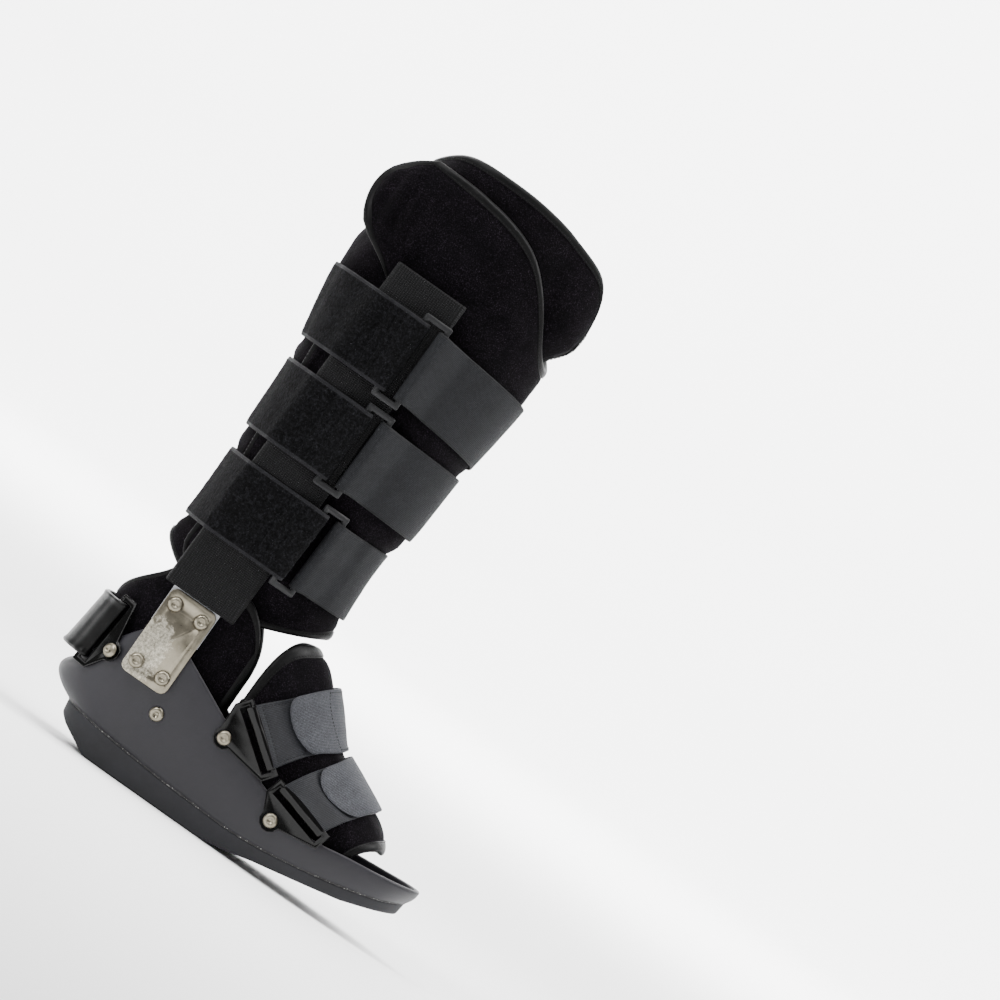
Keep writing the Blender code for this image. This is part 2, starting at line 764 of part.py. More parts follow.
def strap_row(height):
    """The path of a strap round the wrap and the sleeves, as points and outward headings."""
    outline = []
    for angle in range(0, 360, OUTLINE_STEP):
        turned = angle + 360 if angle < WRAP_FREE_END - 360 else angle
        out = WRAP_THICKNESS + wrap_drift(turned)
        outline.append(leg_point(angle, height, out).xy)
    free_end = max(angle for _, angle in WRAP_END[:6])
    outline.append(leg_point(free_end, height, WRAP_THICKNESS + wrap_drift(free_end)).xy)
    corners = {}
    for side in (-1, 1):
        for angle, corner in CORNER_COLUMNS.items():
            corners[angle, side] = sleeve_corner(height, side, corner).xy
    hull = hull_of(outline + list(corners.values()))
    turns = []
    for angle in STRAP_COLUMNS + [360 - angle for angle in STRAP_COLUMNS[-2:0:-1]]:
        side, folded = (-1, angle) if angle <= 180 else (1, 360 - angle)
        heading = Vector((math.cos(math.radians(angle)), -math.sin(math.radians(angle))))
        if folded in CORNER_COLUMNS:
            corner = corners[folded, side]
            heading = (corner - Vector((LEG_WIDEST_X, 0))).normalized()
        turns.append(Vector((LEG_WIDEST_X, 0)) + heading * reach_of(hull, heading))
    points = []
    count = len(turns)
    for index in range(-count // 2, count + 1):
        here = turns[index % count]
        tangent = turns[(index + 1) % count] - turns[(index - 1) % count]
        outward = Vector((-tangent.y, tangent.x)).normalized()
        if outward.dot(here - Vector((LEG_WIDEST_X, 0))) < 0:
            outward = -outward
        seat = here + outward * STRAP_FIT
        points.append((Vector((seat.x, seat.y, height)), outward.to_3d()))
    return points


def track_point(track, position, out):
    """A point out metres above a track, at a fractional column."""
    low = min(max(int(math.floor(position)), 0), len(track) - 2)
    share = position - low
    point = track[low][0].lerp(track[low + 1][0], share)
    heading = track[low][1].lerp(track[low + 1][1], share).normalized()
    return point + heading * out


def lengths_along(track):
    lengths = [0.0]
    for (a, _), (b, _) in zip(track, track[1:]):
        lengths.append(lengths[-1] + (b - a).length)
    return lengths


def column_at(lengths, distance):
    """The fractional column at this distance along a track."""
    index = max(i for i in range(len(lengths) - 1) if lengths[i] <= max(distance, 0))
    return index + (distance - lengths[index]) / (lengths[index + 1] - lengths[index])


def ribbon(name, tracks, bar, direction, profile, end, thickness, material, lap=None, fall=0.0):
    """A strap on its tracks, one track for each row across its width.

    bar holds the distance and height of its bar over the middle track and, for each row, the bar's
    place, the heading of the plate round it and the outward heading. direction is 1 or -1 from there.
    profile lists (distance from the bar, height), and the strap then follows the track up to end.
    Past lap it rises over the piece it lies on. fall lowers it for each metre along.
    """
    start, bar_height, frames = bar
    bend = RING_BAR / 2 + BAR_CLEARANCE + thickness
    lengths = lengths_along(tracks[len(tracks) // 2])
    reach = profile[-1][0] * 1.05
    stations = list(profile)
    inner = sorted((length - start) * direction for length in lengths)
    stations += [(d, profile[-1][1]) for d in inner if reach < d < end * 0.99]
    stations.append((end, profile[-1][1]))
    if lap:
        over, rise = lap
        kept = [(d, out) for d, out in stations if abs(d - over) > LAP_STEP]
        stations = [(d, out + rise * (d > over)) for d, out in kept]
        stations += [(over - LAP_STEP, profile[-1][1]), (over, profile[-1][1] + rise)]
        folded = len(profile)
        stations = stations[:folded] + sorted(stations[folded:])

    def place(column, row):
        distance, out = stations[column]
        if abs(distance) < bend:
            seat, along, outward = frames[row]
            return seat + along * distance + outward * (out - bar_height)
        point = track_point(tracks[row], column_at(lengths, start + direction * distance), out)
        return point - Vector((0, 0, fall * max(distance, 0)))

    columns = list(range(len(stations)))
    return mapped_sheet(name, columns, list(range(len(tracks))), place, material, thickness, 0)


def fold_profile(thickness, bar_height, bar_thickness, tail, base=0.0):
    """From the end of the returned tail, round the bar, and back down to base above the track."""
    low = base + thickness / 2
    swing = bar_thickness / 2 + BAR_CLEARANCE + thickness / 2
    nose = RING_BAR / 2 + BAR_CLEARANCE + thickness / 2
    under = bar_height - swing
    return [
        (tail, low),
        (tail * 0.5, mix(low, under, 0.5)),
        (FOLD_START, under),
        (-nose * 0.75, mix(under, bar_height, 0.35)),
        (-nose, bar_height),
        (-nose * 0.75, bar_height + swing * 0.65),
        (FOLD_START, bar_height + swing),
        (tail * 0.5, mix(low, under, 0.5) + thickness + swing * 0.9),
        (tail * 1.05, low + thickness + CLEARANCE * 2),
        (tail * 1.6, low),
    ]


def bar_frames(seat, along, up, width):
    """For three rows across a bar: its place there, the heading along its plate and outwards."""
    along = along.normalized()
    up = (up - along * up.dot(along)).normalized()
    outward = along.cross(up)
    if outward.dot(Vector((seat.x - LEG_WIDEST_X, seat.y, 0))) < 0:
        outward = -outward
    return [(seat + up * width * share, along, outward) for share in (-0.5, 0, 0.5)]


def ring_plate(name, rear, front, up, width, height, bar, thickness, material):
    """A flat frame with one opening, whose long bars run along up through rear and front."""
    along = (rear - front).normalized()
    middle = (rear + front) / 2
    up = (up - along * up.dot(along)).normalized()
    curve = bpy.data.curves.new(name, "CURVE")
    curve.dimensions = "2D"
    curve.fill_mode = "BOTH"
    curve.extrude = thickness / 2
    for wide, tall, corner in ((width, height, RING_CORNER), (width - 2 * bar, height - 2 * bar, 0)):
        add_outline(curve, rounded_corners(wide, tall, corner))
    ring = new_object(name, curve, material, boot)
    ring.matrix_world = frame_matrix(middle, along, up)
    return ring


def frame_matrix(middle, along, up):
    matrix = Matrix((along, up, along.cross(up))).transposed().to_4x4()
    matrix.translation = middle
    return matrix


def add_outline(curve, points):
    spline = curve.splines.new("POLY")
    spline.points.add(len(points) - 1)
    for point, flat in zip(spline.points, points):
        point.co = (*flat, 0, 1)
    spline.use_cyclic_u = True


def rounded_corners(width, height, radius, segments=3):
    points = []
    for quarter, (sx, sy) in enumerate(((1, 1), (-1, 1), (-1, -1), (1, -1))):
        centre = Vector((sx * (width / 2 - radius), sy * (height / 2 - radius)))
        for i in range(segments + 1 if radius else 1):
            turn = math.radians(90 * quarter + 90 * i / segments)
            points.append(centre + Vector((math.cos(turn), math.sin(turn))) * radius)
    return points


def circle_points(middle, radius, sides):
    turns = [2 * math.pi * i / sides for i in range(sides)]
    return [Vector(middle) + Vector((math.cos(t), math.sin(t))) * radius for t in turns]


def find_x(track, x, side):
    """Distance along a track to where it passes this x on the side given by the sign of Y."""
    lengths = lengths_along(track)
    for i, ((a, _), (b, _)) in enumerate(zip(track, track[1:])):
        if a.y * side > 0 and b.y * side > 0 and (a.x - x) * (b.x - x) <= 0:
            return mix(lengths[i], lengths[i + 1], (x - a.x) / (b.x - a.x))
    raise ValueError("the track never passes this x")


def make_calf_strap(name, middle, bar_x, strap_end, tab_end, fall):
    tracks = [strap_row(middle + STRAP_WIDTH * share) for share in (-0.5, 0, 0.5)]
    bar_height = STRAP_THICKNESS + BAR_CLEARANCE + RING_THICKNESS / 2
    start = find_x(tracks[1], bar_x, -1)
    lengths = lengths_along(tracks[1])
    profile = fold_profile(STRAP_THICKNESS, bar_height, RING_THICKNESS, FOLD_TAIL)
    spread = RING_WIDTH - RING_BAR
    rear = track_point(tracks[1], column_at(lengths, start), bar_height)
    front = track_point(tracks[1], column_at(lengths, start - spread), bar_height)
    half_way = column_at(lengths, start - spread / 2)
    up = track_point(tracks[2], half_way, 0) - track_point(tracks[0], half_way, 0)
    half_ring = (rear - front).normalized() * spread / 2
    seats = [(rear + front) / 2 + half_ring, (rear + front) / 2 - half_ring]
    frames = [bar_frames(seat, rear - front, up, STRAP_WIDTH) for seat in seats]
    bar = (start, bar_height, frames[0])
    ribbon(
        f"calf_strap_{name}", tracks, bar, 1, profile, strap_end, STRAP_THICKNESS, loop_pile
    )
    ring_plate(
        f"ring_{name}", rear, front, up, RING_WIDTH, RING_HEIGHT, RING_BAR, RING_THICKNESS, nylon
    )
    tab_profile = fold_profile(TAB_THICKNESS, bar_height, RING_THICKNESS, FOLD_TAIL)
    round_leg = lengths[-1] / 1.5
    over = round_leg - strap_end - spread - LAP_STEP
    rise = STRAP_THICKNESS + 2 * CLEARANCE
    ribbon(
        f"calf_tab_{name}",
        [strap_row(middle + TAB_WIDTH * share) for share in (-0.5, 0, 0.5)],
        (start - spread, bar_height, [(seat, -along, out) for seat, along, out in frames[1]]),
        -1,
        tab_profile,
        tab_end,
        TAB_THICKNESS,
        hook_tape,
        lap=(over, rise),
        fall=fall,
    )


def foot_track(rear, front, share):
    """The path of one line of a foot strap over the instep, from the lateral side."""
    side_x = mix(rear[0], front[0], share)
    top_x = mix(rear[1], front[1], share)

    def point_at(angle):
        cosine = max(math.cos(math.radians(angle)), 0)
        drop = max(abs(angle) - 90, 0) * FOOT_DROP
        return instep_point(mix(side_x, top_x, cosine**0.9) - drop, angle)

    track = []
    for angle in reversed(FOOT_ANGLES):
        here = point_at(angle)
        along = point_at(angle - 2) - point_at(angle + 2)
        forward = instep_point(here.x + 2 * MM, angle) - instep_point(here.x - 2 * MM, angle)
        outward = along.cross(forward).normalized()
        if outward.dot(here - Vector((here.x, 0, seam_height(here.x)))) < 0:
            outward = -outward
        track.append((here, outward))
    return track


def find_angle(track, angle):
    """Distance along a foot track to where it passes this angle."""
    lengths = lengths_along(track)
    angles = list(reversed(FOOT_ANGLES))
    for i in range(len(angles) - 1):
        if angles[i] >= angle >= angles[i + 1]:
            return mix(lengths[i], lengths[i + 1], (angles[i] - angle) / (angles[i] - angles[i + 1]))
    raise ValueError("no such angle on the track")


def make_foot_strap(name, rear, front, rivet):
    tracks = [foot_track(rear, front, share) for share in (0.0, 0.5, 1.0)]
    lengths = lengths_along(tracks[1])
    start = find_angle(tracks[1], FOOT_BAR_ANGLE)
    total = find_angle(tracks[1], -FOOT_BAR_ANGLE) - start
    fold = fold_profile(TAB_THICKNESS, FOOT_BAR_HEIGHT, CHAFE_THICKNESS, FOLD_TAIL, FOOT_FIT)
    bars = []
    for side_name, side, where in (("lateral", -1, start), ("medial", 1, start + total)):
        column = column_at(lengths, where)
        ends = [track_point(tracks[i], column, FOOT_BAR_HEIGHT) for i in (0, 2)]
        frame = chafe_frame(ends, rivet, side)
        make_chafe(f"foot_chafe_{name}_{side_name}", ends, frame, f"foot_{name}_{side_name}")
        seats = (ends[0], (ends[0] + ends[1]) / 2, ends[1])
        headings = frame[1], frame[1].cross(frame[2])
        bars.append((where, FOOT_BAR_HEIGHT, [(seat, *headings) for seat in seats]))
    under_end = total * FOOT_STRAP_SHARE
    ribbon(f"foot_strap_{name}", tracks, bars[0], 1, fold, under_end, TAB_THICKNESS, webbing)
    over = total - under_end - LAP_STEP
    rise = TAB_THICKNESS + 2 * CLEARANCE
    ribbon(
        f"foot_tab_{name}",
        tracks,
        bars[1],
        -1,
        fold,
        total * FOOT_TAB_SHARE,
        TAB_THICKNESS,
        hook_tape,
        lap=(over, rise),
    )


def shell_point(x, height):
    """The outer face of the shell's lateral wall at this x and height, and its outward heading."""
    share, level = 0.2, 0.5
    for _ in range(12):
        low, high = 0.0, 1.0
        for _ in range(24):
            share = (low + high) / 2
            if shell_wall(share, level).x < x:
                low = share
            else:
                high = share
        bottom, top = shell_wall(share, 0).z, shell_wall(share, 1).z
        level = min(max((height - bottom) / (top - bottom), 0.0), 1.0)
    here = shell_wall(share, level)
    along = shell_wall(share + 0.02, level) - shell_wall(share - 0.02, level)
    up = shell_wall(share, min(level + 0.1, 1)) - shell_wall(share, max(level - 0.1, 0))
    return here, along.cross(up).normalized()


def chafe_frame(bar_ends, rivet, side):
    """Where a chafe plate sits on its rivet, its heading to the bar and its heading along the bar."""
    seat, outward = shell_point(*rivet)
    seat = seat + outward * (CHAFE_STANDOFF + CHAFE_THICKNESS / 2)
    seat = Vector((seat.x, -side * seat.y, seat.z))
    up = (bar_ends[1] - bar_ends[0]).normalized()
    middle = (bar_ends[0] + bar_ends[1]) / 2
    along = middle - seat
    along = (along - up * along.dot(up)).normalized()
    if along.cross(up).y * side < 0:
        up = -up
    return seat, along, up


def make_chafe(name, bar_ends, frame, rivet_name):
    """A flat moulded plate from a rivet on the shell to the bar that a strap folds round."""
    seat, along, up = frame
    middle = (bar_ends[0] + bar_ends[1]) / 2
    half = (bar_ends[1] - bar_ends[0]).length / 2 + CHAFE_MARGIN
    reach = (middle - seat).dot(along)
    shift = (middle - seat).dot(up)
    curve = bpy.data.curves.new(name, "CURVE")
    curve.dimensions = "2D"
    curve.fill_mode = "BOTH"
    curve.extrude = CHAFE_THICKNESS / 2
    far = reach + RING_BAR / 2
    outline = [Vector((far, shift - half)), Vector((far, shift + half))]
    outline.append(Vector((reach - CHAFE_SLOT - RING_BAR, shift + half)))
    apex = circle_points((0, 0), CHAFE_APEX, 12)
    outline += apex[3:10]
    outline.append(Vector((reach - CHAFE_SLOT - RING_BAR, shift - half)))
    add_outline(curve, outline)
    slot_middle = Vector((reach - RING_BAR / 2 - CHAFE_SLOT / 2, shift))
    slot = rounded_corners(CHAFE_SLOT, 2 * half - 2 * RING_BAR, 0)
    add_outline(curve, [slot_middle + point for point in slot])
    add_outline(curve, circle_points((0, 0), RIVET_SHANK + CLEARANCE, DRILL_SIDES))
    chafe = new_object(name, curve, vinyl, boot)
    chafe.matrix_world = frame_matrix(seat, along, up)
    rivet_frames.append((f"rivet_{rivet_name}", seat, along.cross(up), CHAFE_THICKNESS))


def heel_track(height):
    share = (height - HEEL_BAND_LOW) / HEEL_BAND_WIDTH
    back = mix(HEEL_BAND_BACK_LOW, HEEL_BAND_BACK_TOP, share)
    track = []
    for angle in range(HEEL_TRACK_START, 361 - HEEL_TRACK_START, OUTLINE_STEP):
        flat = oval((ANKLE_X, 0), back, ANKLE_FRONT, HEEL_BAND_HALF, angle, 0)
        beyond = oval((ANKLE_X, 0), back, ANKLE_FRONT, HEEL_BAND_HALF, angle, 1)
        track.append((Vector((flat.x, flat.y, height)), (beyond - flat).to_3d()))
    return track


def make_heel_strap():
    tracks = [heel_track(HEEL_BAND_LOW + HEEL_BAND_WIDTH * share) for share in (0, 0.5, 1)]
    lengths = lengths_along(tracks[1])
    start = find_x(tracks[1], HEEL_BAR_X, -1)
    total = lengths[-1] - 2 * start
    swing = CHAFE_THICKNESS / 2 + BAR_CLEARANCE + BAND_THICKNESS / 2
    nose = RING_BAR / 2 + BAR_CLEARANCE + BAND_THICKNESS / 2
    half_fold = [
        (FOLD_TAIL * 0.8, -swing * 0.9),
        (FOLD_START, -swing),
        (-nose * 0.75, -swing * 0.65),
        (-nose, 0.0),
        (-nose * 0.75, swing * 0.65),
        (FOLD_START, swing),
        (FOLD_TAIL * 0.5, swing * 0.9),
    ]
    stations = list(half_fold)
    inner = [length - start for length in lengths]
    stations += [(d, swing * 0.9) for d in inner if FOLD_TAIL * 0.6 < d < total - FOLD_TAIL * 0.6]
    stations += [(total - distance, out) for distance, out in reversed(half_fold)]

    def place(column, row):
        distance, out = stations[column]
        return track_point(tracks[row], column_at(lengths, start + distance), out)

    columns = list(range(len(stations)))
    mapped_sheet("heel_strap", columns, [0, 1, 2], place, vinyl, BAND_THICKNESS, 0)
    for side_name, side, where in (("lateral", -1, start), ("medial", 1, start + total)):
        column = column_at(lengths, where)
        ends = [track_point(tracks[i], column, 0.0) for i in (0, 2)]
        frame = chafe_frame(ends, HEEL_RIVET, side)
        make_chafe(f"heel_chafe_{side_name}", ends, frame, f"heel_{side_name}")


def make_plate(name, side):
    curve = bpy.data.curves.new(name, "CURVE")
    curve.dimensions = "2D"
    curve.fill_mode = "BOTH"
    curve.extrude = PLATE_THICKNESS / 2
    add_outline(curve, rounded_corners(PLATE_WIDTH, PLATE_HEIGHT, PLATE_CORNER))
    middle = Vector((UPRIGHT_X, side * (PLATE_SEAT + PLATE_THICKNESS / 2), 0))
    middle.z = PLATE_BOTTOM + PLATE_HEIGHT / 2
    for along in (-1, 1):
        for level in (-1, 1):
            hole = Vector((along * PLATE_RIVET_X, level * PLATE_RIVET_Z))
            add_outline(curve, circle_points(hole, RIVET_SHANK + CLEARANCE, DRILL_SIDES))
            seat = middle + Vector((hole.x, 0, hole.y))
            label = {-1: "rear", 1: "front"}[along] + "_" + {-1: "low", 1: "high"}[level]
            side_name = {-1: "lateral", 1: "medial"}[side]
            spot = (f"rivet_plate_{side_name}_{label}", seat, Vector((0, side, 0)), PLATE_THICKNESS)
            rivet_frames.append(spot)
    plate = new_object(name, curve, nickel, boot)
    plate.matrix_world = frame_matrix(middle, Vector((1, 0, 0)), Vector((0, 0, 1)))


def rivet_depth(name, seat, outward):
    """How far a rivet's shank runs inwards from the middle of the piece that its head sits on."""
    if name.endswith("high"):
        return PLATE_THICKNESS / 2 + UPRIGHT_THICKNESS + 2 * CLEARANCE
    face, shell_outward = shell_point(seat.x, seat.z)
    face.y = math.copysign(face.y, seat.y)
    shell_outward.y = math.copysign(shell_outward.y, seat.y)
    square = outward.dot(shell_outward)
    slant = math.sqrt(max(1 - square * square, 0)) / square
    stand_off = (seat - face).dot(outward)
    return stand_off + SHELL_WALL / square + RIVET_TAIL_RADIUS * slant + 5 * CLEARANCE


def make_rivet(name, seat, outward, covered):
    """A turned rivet: a low domed head, a shank through the holes and a flat tail inside."""
    deep = rivet_depth(name, seat, outward)
    base = covered / 2 + CLEARANCE
    profile = [
        (0, base + RIVET_DOME),
        (0.8 * RIVET_HEAD, base + 0.75 * RIVET_DOME),
        (RIVET_HEAD, base),
        (RIVET_SHANK, base),
        (RIVET_SHANK, -deep),
        (RIVET_TAIL_RADIUS, -deep),
        (RIVET_TAIL_RADIUS, -deep - RIVET_TAIL),
        (0, -deep - RIVET_TAIL),
    ]
    mesh = bpy.data.meshes.new(name)
    edges = [(i, i + 1) for i in range(len(profile) - 1)]
    mesh.from_pydata([(x, 0, z) for x, z in profile], edges, [])
    rivet = new_object(name, mesh, nickel, boot)
    screw = rivet.modifiers.new("Turned", "SCREW")
    screw.steps = screw.render_steps = RIVET_SIDES
    screw.use_merge_vertices = True
    screw.merge_threshold = 0.01 * MM
    turned = outward.to_track_quat("Z", "Y").to_matrix().to_4x4()
    rivet.matrix_world = Matrix.Translation(seat) @ turned


def make_cutter(name, frames):
    """One mesh of short rods that drill the holes of the rivets given."""
    bm = bmesh.new()
    for _, seat, outward, _ in frames:
        turned = outward.to_track_quat("Z", "Y").to_matrix().to_4x4()
        bmesh.ops.create_cone(
            bm,
            cap_ends=True,
            segments=DRILL_SIDES,
            radius1=RIVET_SHANK + CLEARANCE,
            radius2=RIVET_SHANK + CLEARANCE,
            depth=DRILL_DEPTH,
            matrix=Matrix.Translation(seat) @ turned,
        )
    mesh = bpy.data.meshes.new(name)
    bm.to_mesh(mesh)
    bm.free()
    cutter = new_object(name, mesh, nickel, cutters)
    cutter.hide_render = True
    cutter.display_type = "WIRE"
    return cutter


def drill(obj, frames):
    cut = obj.modifiers.new("Rivet holes", "BOOLEAN")
    cut.object = make_cutter(f"{obj.name}_holes", frames)


def side_rivets():
    """The bright rivet low on each side of the shell."""
    for side_name, side in (("lateral", -1), ("medial", 1)):
        seat, outward = shell_point(*SHELL_RIVET)
        seat = Vector((seat.x, -side * seat.y, seat.z))
        outward = Vector((outward.x, -side * outward.y, outward.z))
        rivet_frames.append((f"rivet_shell_{side_name}", seat, outward, 0.0))


for obj in list(bpy.data.objects):
    bpy.data.objects.remove(obj)

boot = bpy.data.collections.new("ankle_walker_boot")
cutters = bpy.data.collections.new("cutters")
for collection in (boot, cutters):
    bpy.context.scene.collection.children.link(collection)

shell_plastic = new_material("shell_plastic", (0.045, 0.045, 0.050), 0.55)
sole_rubber = new_material("sole_rubber", (0.095, 0.095, 0.100), 0.80)
foam = new_material("foam", (0.015, 0.015, 0.017), 0.90)
liner = new_material("liner", (0.012, 0.011, 0.013), 0.95)
webbing = new_material("webbing", (0.014, 0.014, 0.016), 0.85)
loop_pile = new_material("loop_pile", (0.012, 0.012, 0.013), 1.00)
hook_tape = new_material("hook_tape", (0.045, 0.050, 0.057), 0.75)
nylon = new_material("nylon", (0.040, 0.040, 0.043), 0.45)
vinyl = new_material("vinyl", (0.008, 0.008, 0.009), 0.20)
aluminium = new_material("aluminium", (0.55, 0.55, 0.56), 0.40, 1.0)
nickel = new_material("nickel", (0.42, 0.40, 0.36), 0.30, 1.0)

rivet_frames = []

make_leg_wrap()
make_ankle_wrap()
make_instep_wrap()
make_sole()
make_insole()
make_heel_strap()
for strap in CALF_STRAPS:
    make_calf_strap(*strap)
for strap in FOOT_STRAPS:
    make_foot_strap(*strap)
side_rivets()
for side_name, side in (("lateral", -1), ("medial", 1)):
    make_plate(f"plate_{side_name}", side)
    make_upright(f"upright_{side_name}", side)
    make_sleeve(f"sleeve_{side_name}", side)
make_shell()
for frame in rivet_frames:
    make_rivet(*frame)
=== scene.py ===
"""The finished look of the ankle walker boot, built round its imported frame.

Metres, +Z up, +X to the toe, the outer (lateral) side at -Y. The shapes of the soft pieces and of the
shell follow the same named sizes and tables as the part, worked out here on finer grids.
"""

import math

import bmesh
import bpy
import numpy as np
from mathutils import Matrix, Vector, noise


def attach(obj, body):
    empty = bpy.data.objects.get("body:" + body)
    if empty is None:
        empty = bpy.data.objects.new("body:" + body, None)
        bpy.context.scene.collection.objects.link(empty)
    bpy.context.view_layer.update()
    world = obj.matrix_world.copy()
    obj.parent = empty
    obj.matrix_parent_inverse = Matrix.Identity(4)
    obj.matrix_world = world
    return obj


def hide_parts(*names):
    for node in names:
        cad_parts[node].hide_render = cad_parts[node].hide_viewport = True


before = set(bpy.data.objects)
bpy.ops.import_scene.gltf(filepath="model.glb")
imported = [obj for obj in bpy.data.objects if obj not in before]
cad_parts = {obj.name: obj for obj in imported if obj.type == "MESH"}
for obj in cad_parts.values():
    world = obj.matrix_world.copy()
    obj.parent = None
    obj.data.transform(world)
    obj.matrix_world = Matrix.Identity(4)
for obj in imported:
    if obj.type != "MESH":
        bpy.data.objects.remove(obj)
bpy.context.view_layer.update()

MM = 0.001

# Clearances between touching pieces.
CLEARANCE = 0.3 * MM
LAYER_GAP = 0.9 * MM
LOOSE_FIT = 0.6 * MM
STRAP_FIT = 1.8 * MM
FOOT_FIT = 1.2 * MM

# Hard foot shell and its sole.
SHELL_HEEL = -64 * MM
SHELL_TOE = 205.6 * MM
SEAM_HEEL = -52 * MM
SEAM_TOE = 201.6 * MM
SHELL_HEIGHT = 96 * MM
SHELL_HALF = 54.5 * MM
SHELL_WALL = 3 * MM
SHELL_SPINE = (-14 * MM, 154 * MM)
HEEL_SHARE = 0.16
FLOOR_MIDDLE = 72 * MM
FLOOR_PULL = 0.18
HEEL_BULGE = 11 * MM
SIDE_BULGE = 1.5 * MM
SEAM_HEIGHT = 39.2 * MM
SOLE_HEEL = -50.5 * MM
SOLE_TOE = 200.5 * MM
SOLE_INSET = 2.5 * MM
SOLE_RISE = 30 * MM
INSOLE_THICKNESS = 5 * MM
INSOLE_ROOM = 2 * MM
INSOLE_LENGTH = 0.965

# Soft leg wrap, one padded sheet wound once and a half round the leg.
LEG_TOP = 460 * MM
LEG_BACK = 64 * MM
LEG_FRONT = 69 * MM
LEG_HALF = SHELL_HALF + 0.5 * MM
LEG_WIDEST_X = -9 * MM
WRAP_THICKNESS = 6.2 * MM
LEG_SHIFT = (WRAP_THICKNESS + LAYER_GAP) / 2
EAR_LIFT = 20 * MM
EAR_ANGLES = (462, 498)
EAR_HEIGHTS = (0.780, 0.840)
EAR_TIP_HEIGHTS = (0.905, 0.963)
EAR_TIP_FALL = 0.45
CORNER_LIFT = 13 * MM
CORNER_ANGLES = (12, 50)
CORNER_HEIGHTS = (2 * MM, 24 * MM)
WRAP_START = 5
WRAP_STRAIGHT_END = 440
WRAP_FREE_END = 500
SECOND_TURN = (268, 352)

# Padded ankle collar.
ANKLE_TOP = 145 * MM
ANKLE_BACK = 53.4 * MM
ANKLE_FRONT = 75 * MM
ANKLE_HALF = SHELL_HALF - SHELL_WALL - 4.9 * MM
ANKLE_X = -13 * MM
ANKLE_THICKNESS = 5 * MM

# Padded instep cover.
INSTEP_THICKNESS = 6 * MM
INSTEP_HALF = SHELL_HALF - SHELL_WALL - 3 * MM
INSTEP_REAR = 41 * MM
INSTEP_FRONT = 174 * MM
INSTEP_TOP = 175 * MM
INSTEP_ARC = 21 * MM
INSTEP_HEM = 18 * MM
INSTEP_TUCK = 0.1

# Uprights, their sleeves and the plates that join them to the shell.
UPRIGHT_THICKNESS = 3 * MM
UPRIGHT_X = -18.9 * MM
UPRIGHT_LEAN = 6.5 * MM
UPRIGHT_TOP = 366 * MM
UPRIGHT_BEND = 37.4 * MM
UPRIGHT_STRAIGHT = 150 * MM
UPRIGHT_ROOM = 1 * MM
PLATE_HEIGHT = 62.5 * MM
PLATE_BOTTOM = 61.5 * MM
PLATE_THICKNESS = 2 * MM
PLATE_SEAT = SHELL_HALF - 2.2 * MM
PLATE_RIVET_X = 10.1 * MM
PLATE_RIVET_Z = 21.8 * MM
SLEEVE_WIDTH = 49 * MM
SLEEVE_THICKNESS = 7.6 * MM
SLEEVE_WALL = 1.6 * MM
SLEEVE_BOTTOM = PLATE_BOTTOM + PLATE_HEIGHT + LOOSE_FIT
SLEEVE_TOP = 376 * MM
SLEEVE_SHIFT = 1.2 * MM

# Straps, rings and tabs.
STRAP_WIDTH = 52 * MM
STRAP_THICKNESS = 2 * MM
TAB_WIDTH = 51 * MM
TAB_THICKNESS = 1.6 * MM
RING_WIDTH = 20.5 * MM
RING_BAR = 4 * MM
RING_THICKNESS = 2.4 * MM
BAR_CLEARANCE = 1.25 * MM
FOLD_START = 0.5 * MM
FOLD_TAIL = 14 * MM
LAP_STEP = 7 * MM
FOOT_BAR_HEIGHT = 7.5 * MM
FOOT_BAR_ANGLE = 86
FOOT_DROP = 0.5 * MM
FOOT_STRAP_SHARE = 0.6
CHAFE_THICKNESS = 1.5 * MM
CHAFE_STANDOFF = 0.9 * MM
BAND_THICKNESS = 2 * MM
HEEL_BAND_LOW = 53 * MM
HEEL_BAND_WIDTH = 43 * MM
HEEL_BAND_BACK_LOW = 60.5 * MM
HEEL_BAND_BACK_TOP = 55.6 * MM
HEEL_BAND_HALF = SHELL_HALF + 0.5 * MM
HEEL_BAR_X = -60 * MM
HEEL_TRACK_START = 96
OUTLINE_STEP = 12

# Rivets.
RIVET_HEAD = 5 * MM
RIVET_DOME = 2.2 * MM
RIVET_SHANK = 2.2 * MM
RIVET_TAIL = 1.2 * MM
RIVET_TAIL_RADIUS = 3.2 * MM
SHELL_RIVET = (1.3 * MM, 50 * MM)
HEEL_RIVET = (-45.2 * MM, 66.3 * MM)

# Leg wrap sections: height, back, front, half width, as shares of the sizes above.
LEG_SECTIONS = (
    (0.283, 0.630, 0.550, 0.530),
    (0.326, 0.850, 0.740, 0.555),
    (0.359, 0.790, 0.700, 0.670),
    (0.467, 0.775, 0.690, 0.745),
    (0.515, 0.800, 0.790, 0.785),
    (0.624, 0.825, 0.840, 0.870),
    (0.750, 0.970, 0.945, 0.945),
    (0.826, 1.000, 0.985, 0.980),
    (0.913, 0.920, 1.000, 1.000),
    (1.000, 0.720, 0.910, 0.980),
)

# Edges of the leg wrap along its winding: angle in degrees, bottom, top, as shares of LEG_TOP.
WRAP_EDGES = (
    (5, 0.326, 0.860),
    (15, 0.324, 0.945),
    (25, 0.318, 0.968),
    (40, 0.305, 0.982),
    (60, 0.285, 0.993),
    (85, 0.283, 1.000),
    (130, 0.287, 0.995),
    (180, 0.322, 0.965),
    (230, 0.287, 0.995),
    (265, 0.283, 0.990),
    (290, 0.283, 0.950),
    (315, 0.300, 0.885),
    (340, 0.322, 0.830),
    (360, 0.326, 0.813),
    (375, 0.324, 0.815),
    (390, 0.314, 0.835),
    (405, 0.300, 0.880),
    (424, 0.285, 0.932),
    (447, 0.283, 0.957),
    (470, 0.283, 0.963),
    (510, 0.283, 0.963),
)

